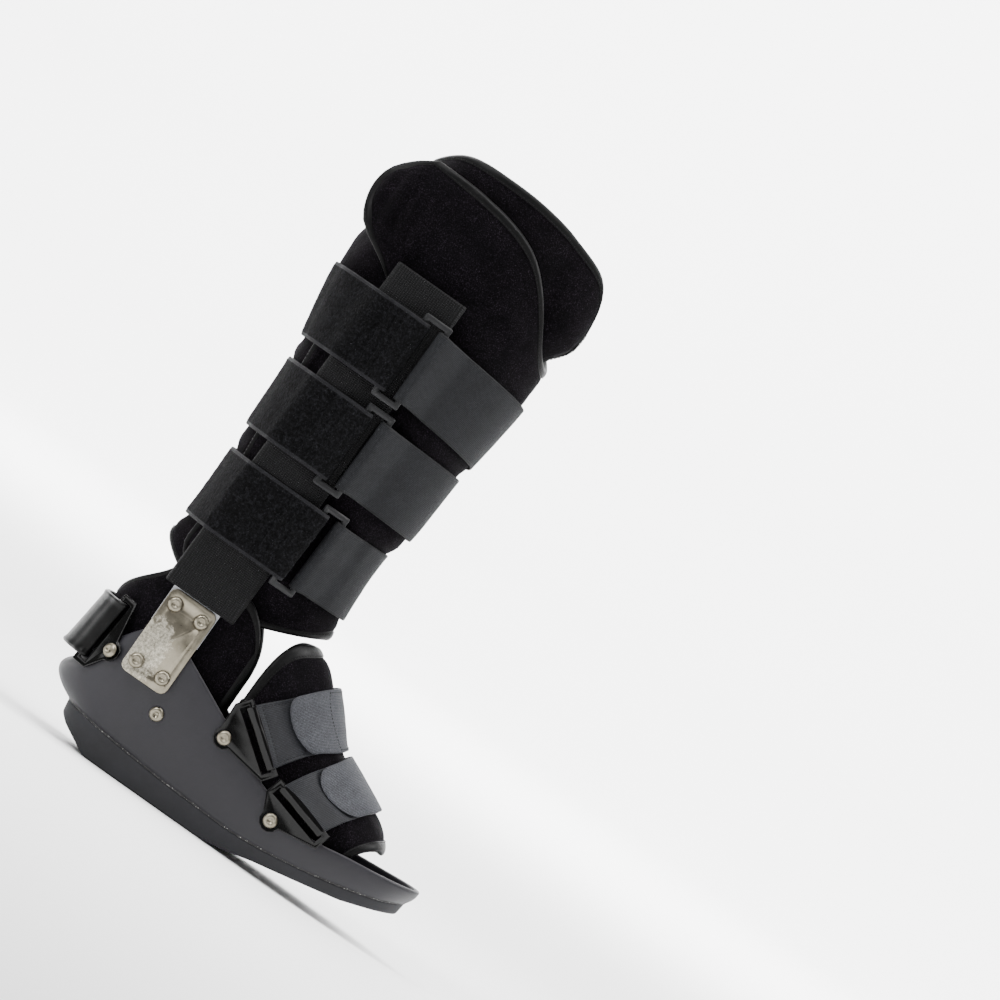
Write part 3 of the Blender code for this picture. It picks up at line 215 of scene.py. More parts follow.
# Free end of the wrap: share of the height between its edges, angle in degrees.
WRAP_END = (
    (0.00, 478),
    (0.03, 488),
    (0.08, 495),
    (0.15, 497),
    (0.55, 497),
    (0.64, 490),
    (0.73, 472),
    (0.77, 482),
    (0.82, 497),
    (0.89, 506),
    (0.95, 502),
    (1.00, 490),
)

# Foot plan: share of the length from the heel, half width at the rim, at the seam.
FOOT_PLAN = (
    (0.000, 0.000, 0.000),
    (0.005, 0.230, 0.170),
    (0.020, 0.460, 0.340),
    (0.045, 0.690, 0.500),
    (0.080, 0.840, 0.640),
    (0.120, 0.925, 0.730),
    (0.170, 0.950, 0.790),
    (0.230, 0.953, 0.820),
    (0.300, 0.953, 0.845),
    (0.380, 0.953, 0.865),
    (0.460, 0.958, 0.888),
    (0.550, 0.975, 0.912),
    (0.640, 0.993, 0.935),
    (0.720, 1.000, 0.940),
    (0.800, 0.960, 0.895),
    (0.870, 0.870, 0.800),
    (0.930, 0.710, 0.650),
    (0.970, 0.500, 0.460),
    (0.993, 0.250, 0.230),
    (1.000, 0.000, 0.000),
)

# Rim of the shell: share of its length, share of its height.
SHELL_RIM = (
    (0.000, 0.510),
    (0.008, 0.530),
    (0.030, 0.640),
    (0.070, 0.830),
    (0.110, 0.960),
    (0.160, 1.000),
    (0.210, 0.985),
    (0.240, 0.947),
    (0.380, 0.760),
    (0.487, 0.610),
    (0.584, 0.510),
    (0.694, 0.437),
    (0.820, 0.475),
    (0.900, 0.497),
    (1.000, 0.532),
)

# Seam between shell and sole: share of the length, share of SEAM_HEIGHT.
SEAM_LINE = (
    (0.000, 0.615),
    (0.120, 0.530),
    (0.295, 0.446),
    (0.390, 0.421),
    (0.560, 0.416),
    (0.750, 0.582),
    (0.925, 0.827),
    (1.000, 1.000),
)

# Rocker under the sole: share of its length, share of SOLE_RISE.
SOLE_LINE = (
    (0.000, 0.480),
    (0.020, 0.360),
    (0.110, 0.000),
    (0.465, 0.000),
    (0.535, 0.080),
    (0.618, 0.250),
    (0.745, 0.450),
    (0.860, 0.633),
    (0.950, 0.860),
    (1.000, 1.000),
)

# Instep cover: share of its length, half width, side height, top height.
INSTEP_SECTIONS = (
    (0.000, 0.965, 0.500, 0.970),
    (0.070, 0.970, 0.460, 0.903),
    (0.160, 0.975, 0.405, 0.823),
    (0.255, 0.985, 0.350, 0.774),
    (0.345, 1.000, 0.315, 0.711),
    (0.445, 1.000, 0.290, 0.626),
    (0.525, 1.000, 0.270, 0.556),
    (0.670, 1.000, 0.255, 0.500),
    (0.850, 0.970, 0.255, 0.431),
    (0.950, 0.920, 0.255, 0.377),
    (1.000, 0.880, 0.255, 0.332),
)

# How far the instep cover runs round on each side, in degrees, and the columns of its pad.
INSTEP_REACH = 120
INSTEP_COLUMNS = 80

# Ankle collar: share of ANKLE_TOP, back reach, half width.
ANKLE_SECTIONS = (
    (0.230, 0.660, 0.780),
    (0.340, 0.870, 0.880),
    (0.520, 0.965, 0.955),
    (0.710, 1.000, 1.000),
    (0.880, 0.930, 1.000),
    (1.000, 0.900, 1.000),
)

# Top edge of the ankle collar: angle in degrees from the toe, share of ANKLE_TOP.
ANKLE_EDGE = (
    (51.5, 0.683),
    (54.0, 0.786),
    (59.5, 0.876),
    (66.5, 0.945),
    (76.0, 0.995),
    (95.0, 1.000),
    (115.0, 0.990),
    (133.0, 0.883),
    (155.0, 0.793),
    (180.0, 0.710),
)

# How square the ovals are: 2 is an ellipse.
OVAL_POWER = 2.3

# Half section of a sleeve: share of the half width, share of the half thickness.
SLEEVE_SECTION = (
    (-1.00, -0.50),
    (-0.86, -1.00),
    (0.86, -1.00),
    (1.00, -0.50),
    (1.00, 0.50),
    (0.86, 1.00),
    (-0.86, 1.00),
    (-1.00, 0.50),
)

# Columns of a strap that follow a corner of the sleeve: angle, corner of the section.
CORNER_COLUMNS = {71: 4, 76: 5, 107: 6, 112: 7}
STRAP_COLUMNS = [0, 12, 24, 36, 48, 60, 71, 76, 91, 107, 112, 120, 132, 144, 156, 168, 180]

# Calf straps: name, middle height, x of the ring's rear bar, lengths from the bar to the ends of
# the strap and of the tab, fall of the tab for each metre along.
CALF_STRAPS = (
    ("top", 328 * MM, -3 * MM, 300 * MM, 165 * MM, 0.09),
    ("mid", 260.5 * MM, -0.5 * MM, 275 * MM, 155 * MM, 0.03),
    ("bottom", 191.5 * MM, 12 * MM, 255 * MM, 130 * MM, 0.0),
)

# Foot straps: name, x of the rear edge at the side and on top, x of the front edge at the side and
# on top, x and height of the rivet.
FOOT_STRAPS = (
    ("rear", (45 * MM, 85 * MM), (80 * MM, 113 * MM), (45.6 * MM, 62.5 * MM)),
    ("front", (92 * MM, 117 * MM), (129.5 * MM, 153 * MM), (100.0 * MM, 36.4 * MM)),
)
FOOT_ANGLES = [-110, -100, -92, -84, -76, -66, -54, -40, -26, -13]
FOOT_ANGLES += [0] + [-angle for angle in reversed(FOOT_ANGLES)]


# A point on the axis of the leg, from which tapes face away.
LEG_AXIS = (LEG_WIDEST_X, 0, 200 * MM)

# How fine the grids are: step along a tape, rows of a pad, columns of pads and of the shell.
TAPE_STEP = 1.3 * MM
PAD_ROWS = 64
LEG_COLUMNS = 380
ANKLE_COLUMNS = 84
SHELL_COLUMNS = 220

# The leg pad's soft folds (size, how much flatter than wide, depth) and the heights between two
# straps at which it bulges out.
WRAP_FOLDS = (
    (26 * MM, 1.6, 1.3 * MM),
    (10 * MM, 2.4, 0.4 * MM),
)
WRAP_BULGES = (
    (217 * MM, 235 * MM),
    (286 * MM, 302 * MM),
)
BULGE_DEPTH = 1.8 * MM

# Upright creases of the ear: x, depth and half width in millimetres. They fade in between the
# first two heights and out between the last two.
EAR_CREASES = (
    (-65, 4.0, 2.4),
    (-54, 4.3, 3.0),
    (-45, 1.8, 3.0),
)
CREASE_HEIGHTS = (378 * MM, 392 * MM, 424 * MM, 438 * MM)

# Angles over which the corners of the wrap's outline are eased.
EASE_ANGLES = (-6, -4, -2, 0, 2, 4, 6)

# Smooth selvages of the calf tapes, the pile's tufts (size, height in millimetres) and the seams
# that hold the fold, as distances along the strap.
PILE_SELVAGE = 2.2 * MM
HOOK_SELVAGE = 1.4 * MM
PILE_TUFTS = (
    (1.3 * MM, 0.28),
    (3.1 * MM, 0.25),
)
PILE_SEAMS = (38 * MM, 43 * MM, 50 * MM)

# Foot straps: webbing near the chafe, then the ends of the stitched patch along the strap. The tab's
# length as a share of the way over, its rounded end and how far its seam lies from there.
LOOP_HEAD = 27 * MM
LOOP_PATCH = (30 * MM, 51 * MM)
FOOT_HALF_WIDTH = 22 * MM
FOOT_HOOK_SHARE = 0.87
TAB_ROUNDING = 9 * MM
TAB_SEAM = 30 * MM

# Rounded edge and raised rim of a chafe.
CHAFE_EDGE = (0.4 * MM, 1.1 * MM)

# Stitches: spacing, length, width. The rows down a sleeve's rear edge, in columns from it.
PAD_STITCH = (2.6 * MM, 1.9 * MM, 0.45 * MM)
STRAP_STITCH = (2.4 * MM, 1.7 * MM, 0.5 * MM)
SELVAGE_STITCH = (2.1 * MM, 1.5 * MM, 0.6 * MM)
SELVAGE_ROWS = (-2, 0, 2)

# The scuffed patch on a plate: how fast it fades along x and z, and its middle.
PATCH_SCALE = (62, 0, 38)
PATCH_SHIFT = (29 * MM * PATCH_SCALE[0], 0, -80 * MM * PATCH_SCALE[2])

# Camera: the point of the boot's middle plane in the middle of the view, distance, width seen at
# the near side, lean of the boot in degrees and width of the sensor.
VIEW_MIDDLE = (102.6 * MM, 288.1 * MM)
VIEW_DISTANCE = 5.0
VIEW_WIDTH = 0.64
NEAR_SIDE = -45 * MM
VIEW_LEAN = 35
SENSOR = 36

# Floor and backdrop, one sheet that curves up behind the boot: y and z of its section, half width.
FLOOR_CURVE = ((-9, 0), (6.4, 0), (6.9, 0.06), (7.3, 0.2), (7.6, 0.5), (7.7, 0.9), (7.7, 9))
FLOOR_HALF = 9

# Soft lights: name, place, point they face, size, power in watts.
BOOT_MIDDLE = (0.05, 0, 0.22)
LIGHTS = (
    ("key", (-1.9, -1.5, 1.9), BOOT_MIDDLE, (0.7, 1.4), 85),
    ("front", (1.5, -2.6, 1.5), BOOT_MIDDLE, (1.0, 1.0), 14),
    ("over_toe", (1.6, 0.3, 1.5), BOOT_MIDDLE, (0.8, 1.2), 60),
    ("behind", (-1.2, 1.2, 1.6), BOOT_MIDDLE, (1.4, 0.8), 50),
    ("floor", (0.1, -0.2, 3.0), (0.1, 2.2, 0.0), (3.0, 1.5), 200),
    ("backdrop", (0.1, 3.6, 3.4), (0.1, 7.4, 0.6), (5.0, 1.5), 1300),
)


def ease(value, low, high):
    """0 below low, 1 above high, and a smooth rise between."""
    share = min(max((value - low) / (high - low), 0.0), 1.0)
    return share * share * (3 - 2 * share)


def mix(low, high, share):
    return low + (high - low) * share


def row_at(table, key):
    """The values of a table at this value of its first column, straight between its rows."""
    key = min(max(key, table[0][0]), table[-1][0])
    index = max(i for i in range(len(table) - 1) if table[i][0] <= key)
    low, high = table[index], table[index + 1]
    share = (key - low[0]) / (high[0] - low[0])
    return [mix(a, b, share) for a, b in zip(low[1:], high[1:])]


def curve_at(table, key):
    """The values of a table at this value of its first column, on a smooth curve through its rows."""
    key = min(max(key, table[0][0]), table[-1][0])
    index = max(i for i in range(len(table) - 1) if table[i][0] <= key)
    before, low, high, after = (
        table[min(max(i, 0), len(table) - 1)] for i in range(index - 1, index + 3)
    )
    span = high[0] - low[0]
    t = (key - low[0]) / span
    values = []
    for column in range(1, len(low)):
        rise_low = (high[column] - before[column]) / (high[0] - before[0]) * span
        rise_high = (after[column] - low[column]) / (after[0] - low[0]) * span
        values.append(
            (2 * t**3 - 3 * t**2 + 1) * low[column]
            + (t**3 - 2 * t**2 + t) * rise_low
            + (3 * t**2 - 2 * t**3) * high[column]
            + (t**3 - t**2) * rise_high
        )
    return values


def signed_power(value, power):
    return math.copysign(abs(value) ** power, value)


def oval(middle, back, front, half, angle, out):
    """A point out metres outside an oval round middle. Angle 0 looks to the toe, 90 to -Y."""
    turn = math.radians(angle)
    reach = front if math.cos(turn) > 0 else back
    along = signed_power(math.cos(turn), 2 / OVAL_POWER)
    across = signed_power(math.sin(turn), 2 / OVAL_POWER)
    lean = Vector(
        (
            signed_power(math.cos(turn), 2 - 2 / OVAL_POWER) / reach,
            -signed_power(math.sin(turn), 2 - 2 / OVAL_POWER) / half,
        )
    ).normalized()
    return Vector(middle) + Vector((reach * along, -half * across)) + lean * out


def steps(low, high, count):
    return [mix(low, high, i / count) for i in range(count + 1)]


def leg_section(height):
    back, front, half = curve_at(LEG_SECTIONS, height / LEG_TOP)
    return (
        back * LEG_BACK + LEG_WIDEST_X,
        front * LEG_FRONT - LEG_WIDEST_X,
        half * LEG_HALF,
    )


def leg_point(angle, height, out):
    """A point out metres outside the hollow for the leg."""
    back, front, half = leg_section(height)
    flat = oval((LEG_WIDEST_X, LEG_SHIFT), back, front, half, angle, out)
    return Vector((flat.x, flat.y, height))


def wrap_drift(angle):
    """How far the second turn of the wrap lies outside the first."""
    return (WRAP_THICKNESS + LAYER_GAP) * ease(angle, *SECOND_TURN)


def wrap_edges(angle):
    bottom, top = curve_at(WRAP_EDGES, angle)
    return bottom * LEG_TOP, top * LEG_TOP


def wrap_lift(angle, height):
    """How far the free ear and the free front corner stand off the leg."""
    ear = ease(angle, *EAR_ANGLES) * ease(height / LEG_TOP, *EAR_HEIGHTS)
    ear *= 1 - EAR_TIP_FALL * ease(height / LEG_TOP, *EAR_TIP_HEIGHTS)
    above_outer_turn = height - wrap_edges(angle + 360)[1]
    corner = 1 - ease(angle, *CORNER_ANGLES)
    corner *= ease(above_outer_turn, *CORNER_HEIGHTS)
    return EAR_LIFT * ear + CORNER_LIFT * corner


def plan_point(share, heel, toe, side):
    along = mix(heel, toe, share)
    return Vector((along, -side * SHELL_HALF))


def seam_height(x):
    return row_at(SEAM_LINE, (x - SEAM_HEEL) / (SEAM_TOE - SEAM_HEEL))[0] * SEAM_HEIGHT


def wall_between(share, rim_side, seam_side, level, height_of_seam):
    """A point on the outer face of the shell's wall: level 0 at the seam, 1 at the rim."""
    seam = plan_point(share, SEAM_HEEL, SEAM_TOE, seam_side)
    rim = plan_point(share, SHELL_HEEL, SHELL_TOE, rim_side)
    rim_height = curve_at(SHELL_RIM, share)[0] * SHELL_HEIGHT
    flat = seam.lerp(rim, level)
    backwards = 1 - ease(share, 0.0, HEEL_SHARE)
    bulge = mix(SIDE_BULGE, HEEL_BULGE, backwards) * 4 * level * (1 - level)
    spine = min(max(flat.x, SHELL_SPINE[0]), SHELL_SPINE[1])
    outward = Vector((flat.x - spine, flat.y))
    if outward.length:
        flat += outward.normalized() * bulge
    return Vector((flat.x, flat.y, mix(height_of_seam(seam.x), rim_height, level)))


def shell_wall(share, level):
    """The lateral wall as the part has it, straight between the rows of its plan."""
    rim_side, seam_side = row_at(FOOT_PLAN, share)
    return wall_between(share, rim_side, seam_side, level, seam_height)


def instep_section(x):
    share = (x - INSTEP_REAR) / (INSTEP_FRONT - INSTEP_REAR)
    half, side, top = curve_at(INSTEP_SECTIONS, share)
    return half * INSTEP_HALF, side * INSTEP_TOP, top * INSTEP_TOP


def instep_point(x, angle):
    """A point on the outer face of the instep cover: angle 0 on top, 90 at the lateral side.

    Past 90 the wall runs down into the shell, a millimetre for each degree.
    """
    half, side, top = instep_section(x)
    turn = math.radians(min(max(angle, -90), 90))
    across = half * signed_power(math.sin(turn), 2 / OVAL_POWER)
    height = mix(side, top, abs(math.cos(turn)) ** (2 / OVAL_POWER))
    below = max(abs(angle) - 90, 0) * MM
    across *= 1 - INSTEP_TUCK * ease(below, 0, side)
    return Vector((x, -across, height - below))


def outer_face(height):
    """How far the wrap's outer face lies from the middle plane beside the leg."""
    return leg_section(height)[2] + WRAP_THICKNESS + LEG_SHIFT


def upright_y(height):
    """Middle of an upright: riveted inside its plate, and clear of the wrap higher up."""
    seat = PLATE_SEAT - CLEARANCE - UPRIGHT_THICKNESS / 2
    bend = ease(height, SLEEVE_BOTTOM, SLEEVE_BOTTOM + UPRIGHT_BEND)
    return max(seat, outer_face(height) + (SLEEVE_THICKNESS / 2 + UPRIGHT_ROOM) * bend)


def upright_x(height):
    share = (height - SLEEVE_BOTTOM) / (UPRIGHT_TOP - SLEEVE_BOTTOM)
    return UPRIGHT_X + UPRIGHT_LEAN * max(share, 0)


def sleeve_corner(height, side, corner):
    along, across = SLEEVE_SECTION[corner % len(SLEEVE_SECTION)]
    x = upright_x(height) + SLEEVE_SHIFT + along * SLEEVE_WIDTH / 2
    return Vector((x, side * (upright_y(height) + across * SLEEVE_THICKNESS / 2), height))


def hull_of(points):
    """The corners of the smallest convex outline round flat points, in order."""
    points = sorted((p.x, p.y) for p in points)
    halves = []
    for ordered in (points, points[::-1]):
        chain = []
        for p in ordered:
            while len(chain) > 1 and cross_of(chain[-2], chain[-1], p) <= 0:
                chain.pop()
            chain.append(p)
        halves.append(chain[:-1])
    return [Vector(p) for p in halves[0] + halves[1]]


def cross_of(a, b, c):
    return (b[0] - a[0]) * (c[1] - a[1]) - (b[1] - a[1]) * (c[0] - a[0])


def reach_of(hull, heading):
    """Distance from the leg's middle to the outline in this heading."""
    best = 0.0
    middle = Vector((LEG_WIDEST_X, 0))
    for a, b in zip(hull, hull[1:] + hull[:1]):
        edge = b - a
        bottom = heading.x * edge.y - heading.y * edge.x
        if abs(bottom) < 1e-12:
            continue
        to_a = a - middle
        distance = (to_a.x * edge.y - to_a.y * edge.x) / bottom
        share = (to_a.x * heading.y - to_a.y * heading.x) / bottom
        if distance > 0 and -1e-5 <= share <= 1 + 1e-5:
            best = max(best, distance)
    return best


def strap_row(height):
    """The path of a strap round the wrap and the sleeves, as points and outward headings."""
    outline = []
    for angle in range(0, 360, OUTLINE_STEP):
        turned = angle + 360 if angle < WRAP_FREE_END - 360 else angle
        out = WRAP_THICKNESS + wrap_drift(turned)
        outline.append(leg_point(angle, height, out).xy)
    free_end = max(angle for _, angle in WRAP_END[:6])
    outline.append(leg_point(free_end, height, WRAP_THICKNESS + wrap_drift(free_end)).xy)
    corners = {}
    for side in (-1, 1):
        for angle, corner in CORNER_COLUMNS.items():
            corners[angle, side] = sleeve_corner(height, side, corner).xy
    hull = hull_of(outline + list(corners.values()))
    turns = []
    for angle in STRAP_COLUMNS + [360 - angle for angle in STRAP_COLUMNS[-2:0:-1]]:
        side, folded = (-1, angle) if angle <= 180 else (1, 360 - angle)
        heading = Vector((math.cos(math.radians(angle)), -math.sin(math.radians(angle))))
        if folded in CORNER_COLUMNS:
            corner = corners[folded, side]
            heading = (corner - Vector((LEG_WIDEST_X, 0))).normalized()
        turns.append(Vector((LEG_WIDEST_X, 0)) + heading * reach_of(hull, heading))
    points = []
    count = len(turns)
    for index in range(-count // 2, count + 1):
        here = turns[index % count]
        tangent = turns[(index + 1) % count] - turns[(index - 1) % count]
        outward = Vector((-tangent.y, tangent.x)).normalized()
        if outward.dot(here - Vector((LEG_WIDEST_X, 0))) < 0:
            outward = -outward
        seat = here + outward * STRAP_FIT
        points.append((Vector((seat.x, seat.y, height)), outward.to_3d()))
    return points


def track_point(track, position, out):
    """A point out metres above a track, at a fractional column."""
    low = min(max(int(math.floor(position)), 0), len(track) - 2)
    share = position - low
    point = track[low][0].lerp(track[low + 1][0], share)
    heading = track[low][1].lerp(track[low + 1][1], share).normalized()
    return point + heading * out


def lengths_along(track):
    lengths = [0.0]
    for (a, _), (b, _) in zip(track, track[1:]):
        lengths.append(lengths[-1] + (b - a).length)
    return lengths


def column_at(lengths, distance):
    """The fractional column at this distance along a track."""
    index = max(i for i in range(len(lengths) - 1) if lengths[i] <= max(distance, 0))
    return index + (distance - lengths[index]) / (lengths[index + 1] - lengths[index])


def fold_profile(thickness, bar_height, bar_thickness, tail, base=0.0):
    """From the end of the returned tail, round the bar, and back down to base above the track."""
    low = base + thickness / 2
    swing = bar_thickness / 2 + BAR_CLEARANCE + thickness / 2
    nose = RING_BAR / 2 + BAR_CLEARANCE + thickness / 2
    under = bar_height - swing
    return [
        (tail, low),
        (tail * 0.5, mix(low, under, 0.5)),
        (FOLD_START, under),
        (-nose * 0.75, mix(under, bar_height, 0.35)),
        (-nose, bar_height),
        (-nose * 0.75, bar_height + swing * 0.65),
        (FOLD_START, bar_height + swing),
        (tail * 0.5, mix(low, under, 0.5) + thickness + swing * 0.9),
        (tail * 1.05, low + thickness + CLEARANCE * 2),
        (tail * 1.6, low),
    ]


def find_x(track, x, side):
    """Distance along a track to where it passes this x on the side given by the sign of Y."""
    lengths = lengths_along(track)
    for i, ((a, _), (b, _)) in enumerate(zip(track, track[1:])):
        if a.y * side > 0 and b.y * side > 0 and (a.x - x) * (b.x - x) <= 0:
            return mix(lengths[i], lengths[i + 1], (x - a.x) / (b.x - a.x))
    raise ValueError("the track never passes this x")


def foot_track(rear, front, share):
    """The path of one line of a foot strap over the instep, from the lateral side."""
    side_x = mix(rear[0], front[0], share)
    top_x = mix(rear[1], front[1], share)

    def point_at(angle):
        cosine = max(math.cos(math.radians(angle)), 0)
        drop = max(abs(angle) - 90, 0) * FOOT_DROP
        return instep_point(mix(side_x, top_x, cosine**0.9) - drop, angle)

    track = []
    for angle in reversed(FOOT_ANGLES):
        here = point_at(angle)
        along = point_at(angle - 2) - point_at(angle + 2)
        forward = instep_point(here.x + 2 * MM, angle) - instep_point(here.x - 2 * MM, angle)
        outward = along.cross(forward).normalized()
        if outward.dot(here - Vector((here.x, 0, seam_height(here.x)))) < 0:
            outward = -outward
        track.append((here, outward))
    return track


def find_angle(track, angle):
    """Distance along a foot track to where it passes this angle."""
    lengths = lengths_along(track)
    angles = list(reversed(FOOT_ANGLES))
    for i in range(len(angles) - 1):
        if angles[i] >= angle >= angles[i + 1]:
            return mix(lengths[i], lengths[i + 1], (angles[i] - angle) / (angles[i] - angles[i + 1]))
    raise ValueError("no such angle on the track")


def shell_point(x, height):
    """The outer face of the shell's lateral wall at this x and height, and its outward heading."""
    share, level = 0.2, 0.5
    for _ in range(12):
        low, high = 0.0, 1.0
        for _ in range(24):
            share = (low + high) / 2
            if shell_wall(share, level).x < x:
                low = share
            else:
                high = share
        bottom, top = shell_wall(share, 0).z, shell_wall(share, 1).z
        level = min(max((height - bottom) / (top - bottom), 0.0), 1.0)
    here = shell_wall(share, level)
    along = shell_wall(share + 0.02, level) - shell_wall(share - 0.02, level)
    up = shell_wall(share, min(level + 0.1, 1)) - shell_wall(share, max(level - 0.1, 0))
    return here, along.cross(up).normalized()


def chafe_frame(bar_ends, rivet, side):
    """Where a chafe plate sits on its rivet, its heading to the bar and its heading along the bar."""
    seat, outward = shell_point(*rivet)
    seat = seat + outward * (CHAFE_STANDOFF + CHAFE_THICKNESS / 2)
    seat = Vector((seat.x, -side * seat.y, seat.z))
    up = (bar_ends[1] - bar_ends[0]).normalized()
    middle = (bar_ends[0] + bar_ends[1]) / 2
    along = middle - seat
    along = (along - up * along.dot(up)).normalized()
    if along.cross(up).y * side < 0:
        up = -up
    return seat, along, up


def heel_track(height):
    share = (height - HEEL_BAND_LOW) / HEEL_BAND_WIDTH
    back = mix(HEEL_BAND_BACK_LOW, HEEL_BAND_BACK_TOP, share)
    track = []
    for angle in range(HEEL_TRACK_START, 361 - HEEL_TRACK_START, OUTLINE_STEP):
        flat = oval((ANKLE_X, 0), back, ANKLE_FRONT, HEEL_BAND_HALF, angle, 0)
        beyond = oval((ANKLE_X, 0), back, ANKLE_FRONT, HEEL_BAND_HALF, angle, 1)
        track.append((Vector((flat.x, flat.y, height)), (beyond - flat).to_3d()))
    return track


def floor_middle(edge_x, share):
    """Where the middle line lies for a column of a floor, drawn in from the ends of the foot."""
    return mix(edge_x, FLOOR_MIDDLE, FLOOR_PULL * (1 - 2 * min(share, 1 - share)))


def rivet_depth(name, seat, outward):
    """How far a rivet's shank runs inwards from the middle of the piece that its head sits on."""
    if name.endswith("high"):
        return PLATE_THICKNESS / 2 + UPRIGHT_THICKNESS + 2 * CLEARANCE
    face, shell_outward = shell_point(seat.x, seat.z)
    face.y = math.copysign(face.y, seat.y)
    shell_outward.y = math.copysign(shell_outward.y, seat.y)
    square = outward.dot(shell_outward)
    slant = math.sqrt(max(1 - square * square, 0)) / square
    stand_off = (seat - face).dot(outward)
    return stand_off + SHELL_WALL / square + RIVET_TAIL_RADIUS * slant + 5 * CLEARANCE


def linear(colour):
    """A hex sRGB colour as the linear values that a shader takes."""
    values = [int(colour[i : i + 2], 16) / 255 for i in (1, 3, 5)]
    return [v / 12.92 if v <= 0.04045 else ((v + 0.055) / 1.055) ** 2.4 for v in values] + [1.0]


def add(tree, kind, inputs=None, **settings):
    """One node, with its settings, and with each input set or linked."""
    node = tree.nodes.new(kind)
    for key, value in settings.items():
        setattr(node, key, value)
    for key, value in (inputs or {}).items():
        if isinstance(value, bpy.types.NodeSocket):
            tree.links.new(value, node.inputs[key])
        else:
            node.inputs[key].default_value = value
    return node


def blank(name, roughness=0.6, metallic=0.0):
    material = bpy.data.materials.new(name)
    material.use_nodes = True
    shader = material.node_tree.nodes["Principled BSDF"]
    shader.inputs["Roughness"].default_value = roughness
    shader.inputs["Metallic"].default_value = metallic
    return material, material.node_tree, shader


def place_of(tree, by_uv=False):
    """Where a point of the surface lies, in metres: along a tape, or in the object's frame."""
    return add(tree, "ShaderNodeTexCoord").outputs["UV" if by_uv else "Object"]


def grain(tree, place, size, detail=3.0, rough=0.6):
    """Noise whose largest features are about size metres across."""
    inputs = {"Vector": place, "Scale": 1 / size, "Detail": detail, "Roughness": rough}
    return add(tree, "ShaderNodeTexNoise", inputs).outputs["Fac"]


def ribs(tree, place, pitch, direction, sway=0.0):
    """Ribs pitch metres apart, counted along X, Y or Z of the place."""
    inputs = {"Vector": place, "Scale": 0.314 / pitch, "Distortion": sway, "Detail": 1.0}
    wave = add(tree, "ShaderNodeTexWave", inputs, bands_direction=direction)
    return wave.outputs["Fac"]


def ramp(tree, value, *stops):
    """Colours or greys at given values, straight between them."""
    node = add(tree, "ShaderNodeValToRGB", {"Fac": value})
    elements = node.color_ramp.elements
    while len(elements) < len(stops):
        elements.new(0.5)
    for element, (at, colour) in zip(elements, stops):
        element.position = at
        element.color = linear(colour) if isinstance(colour, str) else (colour,) * 3 + (1,)
    return node.outputs["Color"]


def blend(tree, share, low, high, mode="MIX"):
    node = add(tree, "ShaderNodeMix", data_type="RGBA", blend_type=mode)
    for socket, value in ((node.inputs[0], share), (node.inputs[6], low), (node.inputs[7], high)):
        if isinstance(value, bpy.types.NodeSocket):
            tree.links.new(value, socket)
        else:
            socket.default_value = value
    return node.outputs[2]


def calc(tree, operation, a, b=0.0):
    node = add(tree, "ShaderNodeMath", operation=operation)
    for socket, value in zip(node.inputs, (a, b)):
        if isinstance(value, bpy.types.NodeSocket):
            tree.links.new(value, socket)
        else:
            socket.default_value = value
    return node.outputs[0]


def raise_by(tree, shader, *layers):
    """Bumps one over another. Each layer is a height from 0 to 1 and its depth in metres."""
    normal = None
    for height, depth in layers:
        inputs = {"Height": height, "Distance": depth, "Strength": 1.0}
        if normal:
            inputs["Normal"] = normal
        normal = add(tree, "ShaderNodeBump", inputs).outputs["Normal"]
    tree.links.new(normal, shader.inputs["Normal"])


def set_inputs(tree, shader, **values):
    for key, value in values.items():
        socket = shader.inputs[key.replace("_", " ")]
        if isinstance(value, bpy.types.NodeSocket):
            tree.links.new(value, socket)
        else:
            socket.default_value = value


def nap_cloth():
    """Brushed lining cloth: near black with a violet cast, a short nap and paler rubbed flecks."""
    material, tree, shader = blank("brushed_lining_cloth", 0.95)
    place = place_of(tree)
    cloud = grain(tree, place, 14 * MM, 4)
    nap = grain(tree, place, 0.8 * MM, 3, 0.75)
    tone = ramp(tree, cloud, (0.3, "#060507"), (0.7, "#0f0c10"))
    fleck = ramp(tree, nap, (0.42, 0.2), (0.56, 0.8), (0.72, 5.5))
    set_inputs(tree, shader, Base_Color=blend(tree, 1.0, tone, fleck, "MULTIPLY"))
    set_inputs(tree, shader, Sheen_Weight=0.02, Sheen_Roughness=0.35, Specular_IOR_Level=0.05)
    set_inputs(tree, shader, Sheen_Tint=linear("#8a8090"))
    raise_by(tree, shader, (cloud, 0.6 * MM), (nap, 0.3 * MM))
    return material


def binding_tape():
    """Smooth stretch binding: black with a satin shine and a fine knit."""
    material, tree, shader = blank("edge_binding", 0.6)
    place = place_of(tree)
    knit = grain(tree, place, 0.8 * MM, 2)
    set_inputs(tree, shader, Base_Color=ramp(tree, knit, (0.3, "#020202"), (0.75, "#060607")))
    set_inputs(tree, shader, Roughness=ramp(tree, knit, (0.3, 0.42), (0.8, 0.6)))
    set_inputs(tree, shader, Specular_IOR_Level=0.1)
    raise_by(tree, shader, (grain(tree, place, 5 * MM), 0.3 * MM), (knit, 0.1 * MM))
    return material


